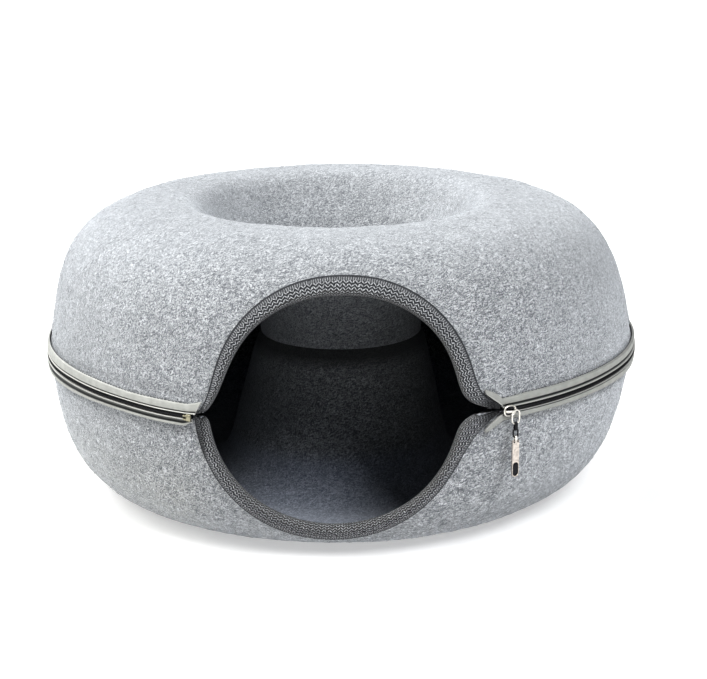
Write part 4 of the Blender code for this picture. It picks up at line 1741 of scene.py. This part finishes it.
class Shader:
    """One Principled material and short ways to add nodes to it."""

    def __init__(self, name: str, colour: Triple, roughness: float, metallic: float = 0.0) -> None:
        """Starts a material.

        Args:
            name: The material's name.
            colour: Its base colour.
            roughness: Its roughness.
            metallic: 1 for a metal.
        """
        self.material = bpy.data.materials.new(name)
        self.material.use_nodes = True
        self.tree = self.material.node_tree
        self.surface = self.tree.nodes["Principled BSDF"]
        self.set("Base Color", (*colour, 1.0))
        self.set("Roughness", roughness)
        self.set("Metallic", metallic)
        self.place = self.node("ShaderNodeTexCoord", {}).outputs["Object"]

    def set(self, name: str, value: object) -> None:
        """Feeds one of the surface's sockets."""
        self.feed(self.surface.inputs[name], value)

    def feed(self, socket: Socket, value: object) -> None:
        """Links a socket to another, or sets its number."""
        if isinstance(value, Socket):
            self.tree.links.new(value, socket)
        else:
            socket.default_value = value

    def node(self, kind: str, inputs: dict, **settings: object) -> bpy.types.Node:
        """Adds a node.

        Args:
            kind: Its type.
            inputs: Values or sockets by input name or number.
            settings: Its own properties.

        Returns:
            The node.
        """
        made = self.tree.nodes.new(kind)
        for key, value in settings.items():
            setattr(made, key, value)
        for key, value in inputs.items():
            self.feed(made.inputs[key], value)
        return made

    def math(self, operation: str, first: object, second: object, third: object = 0.0) -> Socket:
        """A Math node's result."""
        inputs = {0: first, 1: second, 2: third}
        return self.node("ShaderNodeMath", inputs, operation=operation).outputs[0]

    def times(self, first: object, second: object) -> Socket:
        """The product of two values."""
        return self.math("MULTIPLY", first, second)

    def ramp(
        self, value: object, low: float, high: float, first: float = 0.0, last: float = 1.0
    ) -> Socket:
        """Maps low to first and high to last with a smooth step."""
        ends = {"From Min": low, "From Max": high, "To Min": first, "To Max": last}
        inputs = {"Value": value, **ends}
        made = self.node("ShaderNodeMapRange", inputs, interpolation_type="SMOOTHSTEP")
        return made.outputs["Result"]

    def mix(self, share: object, first: object, second: object) -> Socket:
        """Blends two colours."""
        first = (*first, 1.0) if isinstance(first, tuple) else first
        second = (*second, 1.0) if isinstance(second, tuple) else second
        made = self.node("ShaderNodeMix", {0: share, 6: first, 7: second}, data_type="RGBA")
        return made.outputs[2]

    def noise(self, vector: Socket, scale: float, detail: float = 1.0) -> Socket:
        """A Noise node's value, about 0.5."""
        inputs = {"Vector": vector, "Scale": scale, "Detail": detail}
        return self.node("ShaderNodeTexNoise", inputs).outputs[0]

    def grain(self, vector: Socket, turn: Triple, size: Triple) -> Socket:
        """Noise in coordinates that are turned and then divided by a size for each axis."""
        inputs = {"Vector": vector, "Rotation": turn, "Scale": size}
        turned = self.node("ShaderNodeMapping", inputs, vector_type="TEXTURE")
        return self.noise(turned.outputs[0], 1.0)

    def tint(self) -> Socket:
        """The number that each piece holds for its finish."""
        return self.node("ShaderNodeAttribute", {}, attribute_name="tint").outputs["Fac"]

    def split(self, vector: Socket) -> tuple[Socket, Socket, Socket]:
        """The three parts of a vector."""
        return tuple(self.node("ShaderNodeSeparateXYZ", {0: vector}).outputs)

    def uv(self) -> tuple[Socket, Socket]:
        """The pattern coordinates in metres: along and across."""
        return self.split(self.node("ShaderNodeUVMap", {}, uv_map="metres").outputs[0])[:2]

    def moved(self, operation: str, inputs: dict) -> Socket:
        """A Vector Math node's result."""
        return self.node("ShaderNodeVectorMath", inputs, operation=operation).outputs[0]

    def bump(self, height: Socket, distance: float, strength: float = 1.0) -> None:
        """Raises the surface's shading by a height from 0 to 1 over this distance."""
        inputs = {"Height": height, "Distance": distance, "Strength": strength}
        self.set("Normal", self.node("ShaderNodeBump", inputs).outputs[0])

    def cloth(self, glow: float, roughness: float, tint: Triple = WHITE, gloss: float = 0.2) -> None:
        """Sets what fibres do to light.

        Args:
            glow: Weight of the soft glow at grazing angles.
            roughness: Of that glow.
            tint: Its colour.
            gloss: The surface's specular level.
        """
        self.set("Sheen Weight", glow)
        self.set("Sheen Roughness", roughness)
        self.set("Sheen Tint", (*tint, 1.0))
        self.set("Specular IOR Level", gloss)


@dataclass(frozen=True)
class FeltFinish:
    """Heathered needle felt: dark and light fibres matted on a blue-grey ground.

    Attributes:
        ground: Colour between the fibres.
        dark: Of the dark fibres.
        light: Of the light fibres.
        deep: Painted shade that the felt goes to deep in the tunnel.
        well: Painted light that it goes to on the well's wall.
        painted_floor_shade: Bluish tone of the painted shade on the tunnel's floor.
        painted_bounce_light: Painted light low at the left, as bounced from the floor.
        fibre: Width and length of a fleck.
        turns: Directions of the layers of flecks.
    """

    ground: Triple = (0.400, 0.412, 0.430)
    dark: Triple = (0.100, 0.106, 0.118)
    light: Triple = (0.72, 0.73, 0.745)
    deep: Triple = (0.010, 0.012, 0.012)
    well: Triple = (0.660, 0.678, 0.705)
    painted_floor_shade: Triple = (0.500, 0.580, 0.800)
    painted_bounce_light: Triple = (0.500, 0.500, 0.465)
    fibre: Pair = (0.00078, 0.0056)
    turns: tuple[Triple, ...] = (
        (0.3, 0.2, 0.4), (1.4, 0.5, 2.1), (0.8, 1.3, 1.1), (2.2, 0.9, 0.2), (1.9, 2.3, 1.6),
    )

    def material(self) -> Material:
        """Builds the felt: turned layers of stretched noise give the fibres.

        Every layer is stronger low down, the light ones most, which also lightens the lower half as
        painted light, and weaker on the crown. The tint then paints light on the well's wall where
        it is negative, a bluish painted shade on the tunnel's floor where it is slight, and painted
        shade the deeper it is in the tunnel.
        """
        shader = Shader("felt", self.ground, 0.95)
        swirl = self.swirl(shader)
        width, length = self.fibre
        dark: object = 0.0
        light: object = 0.0
        for turn in self.turns:
            noise = shader.grain(swirl, turn, (width, width, length))
            dark = shader.math("MAXIMUM", dark, shader.ramp(noise, 0.57, 0.69))
            light = shader.math("MAXIMUM", light, shader.ramp(noise, 0.41, 0.30))
        clouds = shader.noise(shader.place, 26.0, 3.0)
        matting = shader.noise(swirl, 470.0, 3.0)
        blotches = shader.noise(swirl, 150.0, 2.0)
        shades = dimmed(self.ground, 0.93), dimmed(self.ground, 1.05)
        colour = shader.mix(shader.ramp(clouds, 0.35, 0.65), *shades)
        across, _, height = shader.split(shader.place)
        # Painted bounce light from the floor, low at the left.
        left = shader.ramp(across, -0.085, -0.130)
        painted_bounce_light = shader.times(left, shader.ramp(height, 0.105, 0.035))
        colour = shader.mix(painted_bounce_light, colour, self.painted_bounce_light)
        # The layers are stronger low down, the light ones most: partly the felt's own flecks, partly
        # painted light on the lower half.
        low = shader.ramp(height, 0.125, 0.090)
        usual = shader.ramp(height, 0.195, 0.235, 1.0, 0.88)
        layers = (
            (shader.ramp(blotches, 0.48, 0.68, 0.0, 0.26), self.dark, 1.2),
            (shader.ramp(blotches, 0.48, 0.30, 0.0, 0.20), self.light, 1.6),
            (shader.ramp(matting, 0.47, 0.70, 0.0, 0.42), self.dark, 0.2),
            (shader.ramp(matting, 0.52, 0.28, 0.0, 0.40), self.light, 0.3),
            (shader.times(light, 0.68), self.light, 0.3),
            (shader.times(dark, 0.85), self.dark, 0.12),
        )
        for share, fleck, extra in layers:
            more = shader.math("MULTIPLY_ADD", low, extra, usual)
            colour = shader.mix(shader.times(share, more), colour, fleck)
        inside = shader.tint()
        # Painted light on the well's wall, a bluish painted shade on the tunnel's floor, and painted
        # shade deep in the tunnel, all by the tint.
        colour = shader.mix(shader.times(inside, -0.12), colour, self.well)
        floor = shader.ramp(inside, 0.02, 0.10, 0.26, 0.0)
        colour = shader.mix(shader.times(shader.ramp(inside, 0.0, 0.012), floor), colour, self.painted_floor_shade)
        colour = shader.mix(shader.times(inside, 0.88), colour, self.deep)
        shader.set("Base Color", colour)
        relief = shader.math("SUBTRACT", shader.math("MULTIPLY_ADD", matting, -1.5, light), dark)
        shader.bump(relief, 0.00030, 0.5)
        shader.cloth(0.7, 0.6, (0.93, 0.96, 1.0))
        return shader.material

    def swirl(self, shader: Shader) -> Socket:
        """Coordinates pushed about by a coarse noise, so that the fibres curl."""
        coarse = shader.node("ShaderNodeTexNoise", {"Vector": shader.place, "Scale": 110.0})
        centred = shader.moved("SUBTRACT", {0: coarse.outputs[1], 1: (0.5, 0.5, 0.5)})
        push = shader.moved("SCALE", {0: centred, 3: 0.0065})
        return shader.moved("ADD", {0: shader.place, 1: push})


@dataclass(frozen=True)
class FibreFinish:
    """Loose fibres, from near black to near white by their tint.

    Attributes:
        dark: The darkest.
        light: The lightest.
    """

    dark: Triple = (0.16, 0.17, 0.19)
    light: Triple = (0.86, 0.87, 0.89)

    def material(self) -> Material:
        """Builds the fibres' material."""
        shader = Shader("felt_fibres", self.light, 0.9)
        shade = shader.ramp(shader.tint(), 0.30, 0.75)
        shader.set("Base Color", shader.mix(shade, self.dark, self.light))
        shader.cloth(0.2, 0.5)
        return shader.material


@dataclass(frozen=True)
class BindingFinish:
    """Dark woven tape with light zigzag threads, finer and duller in its fold.

    Attributes:
        weave: Its threads.
        ground: Colour between the threads.
        thread: Of the threads.
        selvedge: Of the plain edge.
        fold: Between the threads in the fold.
    """

    weave: Weave
    ground: Triple = (0.045, 0.047, 0.052)
    thread: Triple = (0.60, 0.61, 0.63)
    selvedge: Triple = (0.060, 0.063, 0.071)
    fold: Triple = (0.070, 0.070, 0.070)

    def material(self) -> Material:
        """Builds the tape: the threads' phase is worked out as in the relief.

        A little noise loosens the threads, fine noise breaks them up, and both ends of the
        tape get painted shade, by the place across the front.
        """
        weave = self.weave
        shader = Shader("woven_binding", self.ground, 0.9)
        along, across = shader.uv()
        loose = shader.noise(shader.place, 380.0, 2.0)
        across = shader.math("ADD", across, shader.math("MULTIPLY_ADD", loose, 0.0016, -0.0008))
        along = shader.math("ADD", along, shader.math("MULTIPLY_ADD", loose, -0.0012, 0.0006))
        triangle = shader.math("PINGPONG", along, weave.wave / 2)
        swing = shader.math("MULTIPLY_ADD", triangle, 2 * weave.swing / weave.wave, across)
        phase = shader.math("PINGPONG", shader.math("DIVIDE", swing, weave.pitch), 0.5)
        turn = shader.math("PINGPONG", along, weave.wave / 4)
        turn = shader.ramp(turn, 0.0, weave.wave / 6, 0.35, 1.0)
        thread = shader.times(shader.ramp(phase, 0.18, 0.40), turn)
        rib = shader.math("PINGPONG", shader.math("DIVIDE", along, weave.rib), 0.5)
        rib = shader.ramp(rib, 0.12, 0.42, 0.10, 0.62)
        edge, blend = weave.ribbed, weave.rib_blend
        inner = shader.ramp(across, edge - blend, edge + blend)
        edge, blend = weave.selvedge, weave.selvedge_blend
        body = shader.ramp(across, edge - blend, edge + blend)
        light = shader.math("MULTIPLY_ADD", inner, shader.math("SUBTRACT", thread, rib), rib)
        fine = shader.grain(shader.place, (0.4, 0.2, 0.9), (0.0004, 0.0004, 0.0011))
        light = shader.times(light, shader.ramp(fine, 0.28, 0.66, 0.30, 1.25))
        colour = shader.mix(light, self.ground, self.thread)
        colour = shader.mix(body, shader.mix(fine, self.ground, self.selvedge), colour)
        worn = shader.mix(shader.times(light, 0.85), self.fold, self.thread)
        worn = shader.mix(shader.ramp(fine, 0.62, 0.38, 0.0, 0.3), worn, self.ground)
        # Painted shade at both ends of the tape, beside the slider and at the left end.
        front_x = shader.split(shader.place)[0]
        right_end = shader.ramp(front_x, 0.0990, 0.1120, 0.0, 0.82)
        left_end = shader.ramp(front_x, -0.0995, -0.1035, 0.0, 0.60)
        ends = shader.math("MAXIMUM", right_end, left_end)
        colour = shader.mix(shader.tint(), colour, worn)
        shader.set("Base Color", shader.mix(ends, colour, dimmed(self.ground, 0.3)))
        shader.bump(shader.math("ADD", light, shader.times(fine, 0.5)), 0.0003, 0.7)
        shader.cloth(0.1, 0.5)
        return shader.material


@dataclass(frozen=True)
class TapeFinish:
    """Smooth light zip tape with fine cross ribs, a painted highlight on its ridge and near-black
    painted shadow in its groove.

    Attributes:
        cloth: Colour of the tape.
        ridge: Painted highlight on the ridge beside the coil.
        groove: Near-black painted shadow in the groove.
    """

    cloth: Triple = (0.49, 0.495, 0.475)
    ridge: Triple = (0.62, 0.62, 0.60)
    groove: Triple = (0.035, 0.037, 0.038)

    def material(self) -> Material:
        """Builds the tape: painted shade by its tint, with ribs and fine noise in the bump."""
        shader = Shader("zip_tape", self.cloth, 0.65)
        along, across = shader.uv()
        rib = shader.math("PINGPONG", shader.math("DIVIDE", along, 0.00075), 0.5)
        streaks = shader.ramp(shader.noise(shader.place, 160.0, 3.0), 0.3, 0.7)
        colour = shader.mix(streaks, dimmed(self.cloth, 0.88), self.cloth)
        # Painted highlight on the ridge next to the coil.
        colour = shader.mix(shader.ramp(across, 0.0010, 0.0013, 1.0, 0.0), colour, self.ridge)
        # Painted shade by the tint.
        shader.set("Base Color", shader.mix(shader.tint(), colour, self.groove))
        fine = shader.noise(shader.place, 1800.0)
        shader.bump(shader.math("MULTIPLY_ADD", rib, 0.8, fine), 0.00012, 0.6)
        shader.cloth(0.1, 0.4, gloss=0.3)
        return shader.material


@dataclass(frozen=True)
class PlasticFinish:
    """Black nylon of the coil.

    Attributes:
        colour: Of the nylon.
    """

    colour: Triple = (0.008, 0.008, 0.009)

    def material(self) -> Material:
        """Builds the nylon, a little uneven in gloss, with a painted highlight by its tint."""
        shader = Shader("zip_coil", self.colour, 0.4)
        gloss = shader.noise(shader.place, 300.0, 2.0)
        shader.set("Roughness", shader.ramp(gloss, 0.3, 0.7, 0.32, 0.55))
        colour = shader.mix(gloss, self.colour, dimmed(self.colour, 2.2))
        # The tint paints a highlight on the coil.
        shader.set("Base Color", shader.mix(shader.tint(), colour, dimmed(self.colour, 6.0)))
        shader.set("Specular IOR Level", 0.3)
        return shader.material


@dataclass(frozen=True)
class ThreadFinish:
    """Dark grey sewing thread.

    Attributes:
        colour: Of the thread.
    """

    colour: Triple = (0.075, 0.077, 0.082)

    def material(self) -> Material:
        """Builds the thread with a fine twist."""
        shader = Shader("sewing_thread", self.colour, 0.8)
        twist = shader.grain(shader.place, (0.5, 0.7, 0.3), (0.0002, 0.0002, 0.0009))
        shader.set("Base Color", shader.mix(twist, self.colour, dimmed(self.colour, 1.9)))
        shader.bump(twist, 0.0001, 0.6)
        return shader.material


@dataclass(frozen=True)
class MetalFinish:
    """Plated or pressed metal with faint wear.

    Attributes:
        metal: Which metal.
        colour: Its colour.
        roughness: Its roughness.
    """

    metal: Metal
    colour: Triple
    roughness: float

    def material(self) -> Material:
        """Builds the metal: its gloss and its colour vary a little, with hairline scratches."""
        shader = Shader(self.metal.value, self.colour, self.roughness, 1.0)
        worn = shader.noise(shader.place, 500.0, 3.0)
        low, high = 0.8 * self.roughness, 1.5 * self.roughness
        shader.set("Roughness", shader.ramp(worn, 0.35, 0.7, low, high))
        dull_and_painted_shade = dimmed(self.colour, 0.8)
        shader.set("Base Color", shader.mix(shader.ramp(worn, 0.4, 0.7), self.colour, dull_and_painted_shade))
        scratch = shader.grain(shader.place, (0.2, 1.1, 0.4), (0.0001, 0.0001, 0.003))
        shader.bump(scratch, 0.00003, 0.4)
        return shader.material


# ------------------------------------------------------------------ studio
@dataclass(frozen=True)
class Lamp:
    """A broad light from one direction.

    Attributes:
        name: Its name.
        azimuth: Degrees from the front towards +X.
        elevation: Degrees above the floor.
        spread: Width of its disc in degrees, which softens shadows.
        strength: In watts a square metre.
        colour: Of its light.
    """

    name: str
    azimuth: float
    elevation: float
    spread: float
    strength: float
    colour: Triple


@dataclass
class Studio:
    """Pale floor and background, soft light and the camera at the photo's angle.

    Attributes:
        axis_y: Where the doughnut's axis stands.
        distance: Of the camera from the point that it looks at.
        elevation: Of the camera, in degrees.
        roll: Of the camera, in degrees.
        aim_height: Of the point that it looks at.
        focal_px: Focal length in the photo's pixels.
        offset_px: Where that point falls, from the photo's middle, right and down.
        glow: Of the floor, which keeps it white.
        sky: Strength of the even light from all round on dull surfaces.
        mirrored_sky: Its strength in what glossy surfaces mirror. Behind the floor it is white.
        contrast: Of the view, as its gamma.
        lamps: The lights.
    """

    axis_y: float
    distance: float = 1.5
    elevation: float = 16.067
    roll: float = -0.5831
    aim_height: float = 0.10
    focal_px: float = 1733.26
    offset_px: Pair = (-12.22, 15.86)
    glow: float = 0.49
    sky: float = 0.03
    mirrored_sky: float = 0.35
    contrast: float = 0.72
    lamps: tuple[Lamp, ...] = (
        Lamp("side", -73.0, 46.0, 40.0, 2.17, (1.0, 0.99, 0.955)),
        Lamp("front", 38.5, 51.5, 29.0, 3.08, (0.98, 0.99, 1.0)),
        Lamp("back", -140.0, 42.0, 50.0, 2.81, (0.98, 0.99, 1.0)),
    )

    def placed(self, name: str, data: bpy.types.ID) -> Piece:
        """Puts a camera or a light into the scene."""
        made = bpy.data.objects.new(name, data)
        bpy.context.scene.collection.objects.link(made)
        return made

    def camera(self) -> None:
        """Sets the camera: its axes are the view's, turned by the roll."""
        sensor = 36.0
        lens = bpy.data.cameras.new("camera")
        lens.sensor_width = sensor
        lens.lens = self.focal_px / PHOTO_SIZE[0] * sensor
        lens.shift_x = -self.offset_px[0] / PHOTO_SIZE[0]
        lens.shift_y = self.offset_px[1] / PHOTO_SIZE[0]
        lens.clip_end = 20.0
        camera = self.placed("camera", lens)
        rise, roll = math.radians(self.elevation), math.radians(self.roll)
        back = Vector((0.0, -math.cos(rise), math.sin(rise)))
        right = (-back).cross(Vector((0.0, 0.0, 1.0))).normalized()
        up = back.cross(right)
        turned_right = right * math.cos(roll) + up * math.sin(roll)
        turned_up = up * math.cos(roll) - right * math.sin(roll)
        turned = Matrix((turned_right, turned_up, back)).transposed().to_4x4()
        aim = Vector((0.0, self.axis_y, self.aim_height))
        camera.matrix_world = Matrix.Translation(aim + back * self.distance) @ turned
        bpy.context.scene.camera = camera

    def light(self, lamp: Lamp) -> None:
        """Adds a broad, even light, as from a large soft box far away."""
        data = bpy.data.lights.new(lamp.name, "SUN")
        data.energy = lamp.strength
        data.angle = math.radians(lamp.spread)
        data.color = lamp.colour
        turn, rise = math.radians(lamp.azimuth), math.radians(lamp.elevation)
        across = math.cos(rise)
        towards = Vector((math.sin(turn) * across, -math.cos(turn) * across, math.sin(rise)))
        made = self.placed(lamp.name, data)
        made.location = towards * 2.5
        made.rotation_euler = towards.to_track_quat("Z", "Y").to_euler()

    def floor(self) -> None:
        """A pale floor that reaches far beyond the view, in ever wider squares."""
        steps = 0.5 * 1.7 ** np.arange(8)
        side = np.concatenate([-steps[::-1], [0.0], steps])
        draft = MeshDraft()
        draft.grid(together(side[None, :], side[:, None], 0.0))
        floor = draft.piece("floor")
        shader = Shader("floor", (0.55, 0.55, 0.55), 0.9)
        tone = shader.noise(shader.place, 3.0, 2.0)
        shader.set("Base Color", shader.mix(tone, (0.54, 0.54, 0.54), (0.56, 0.56, 0.56)))
        shader.set("Emission Color", (*WHITE, 1.0))
        shader.set("Emission Strength", self.glow)
        floor.data.materials.append(shader.material)
        floor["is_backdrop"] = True

    def world(self) -> None:
        """Sets the even light from all round, stronger where it is mirrored or seen."""
        world = bpy.data.worlds.new("studio")
        world.use_nodes = True
        nodes, links = world.node_tree.nodes, world.node_tree.links
        background = nodes["Background"]
        background.inputs["Color"].default_value = (*WHITE, 1.0)
        path = nodes.new("ShaderNodeLightPath")
        mirrored, seen = nodes.new("ShaderNodeMapRange"), nodes.new("ShaderNodeMapRange")
        mirrored.inputs["To Min"].default_value = self.sky
        mirrored.inputs["To Max"].default_value = self.mirrored_sky
        seen.inputs["To Max"].default_value = 1.0
        links.new(path.outputs["Is Glossy Ray"], mirrored.inputs["Value"])
        links.new(path.outputs["Is Camera Ray"], seen.inputs["Value"])
        links.new(mirrored.outputs["Result"], seen.inputs["To Min"])
        links.new(seen.outputs["Result"], background.inputs["Strength"])
        bpy.context.scene.world = world

    def build(self) -> None:
        """Sets the camera, the floor, the lamps, the sky and the view."""
        self.camera()
        self.floor()
        for lamp in self.lamps:
            self.light(lamp)
        self.world()
        bpy.context.scene.view_settings.gamma = self.contrast
        bpy.context.scene.view_settings.view_transform = "Standard"


def measured_box() -> list[list[float]]:
    """The shown object's lowest and highest corner as plain lists."""
    bpy.context.view_layer.update()
    return [[float(part) for part in corner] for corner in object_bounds()]


def main() -> None:
    """Builds every piece round the frame."""
    logging.basicConfig(level=logging.INFO, format="%(name)s: %(message)s")
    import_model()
    cad_box = measured_box()
    skin, weave = FeltSkin(), Weave()
    thread = ThreadFinish().material()
    FeltShells(skin).build(FeltFinish().material(), FibreFinish().material())
    Bindings(skin, weave).build(BindingFinish(weave).material(), thread)
    ZipFastener(skin).build(TapeFinish().material(), PlasticFinish().material(), thread)
    finishes = (
        MetalFinish(Metal.BRIGHT, (0.86, 0.84, 0.80), 0.34),
        MetalFinish(Metal.NICKEL, (0.66, 0.61, 0.57), 0.24),
        MetalFinish(Metal.DARK, (0.05, 0.05, 0.055), 0.28),
        MetalFinish(Metal.BRASS, (0.42, 0.40, 0.31), 0.35),
    )
    Hardware(skin, {finish.metal: finish.material() for finish in finishes}).build()
    Studio(skin.axis_y).build()
    {"cad_box": cad_box, "visual_box": measured_box()}


if __name__ == "__main__":
    main()
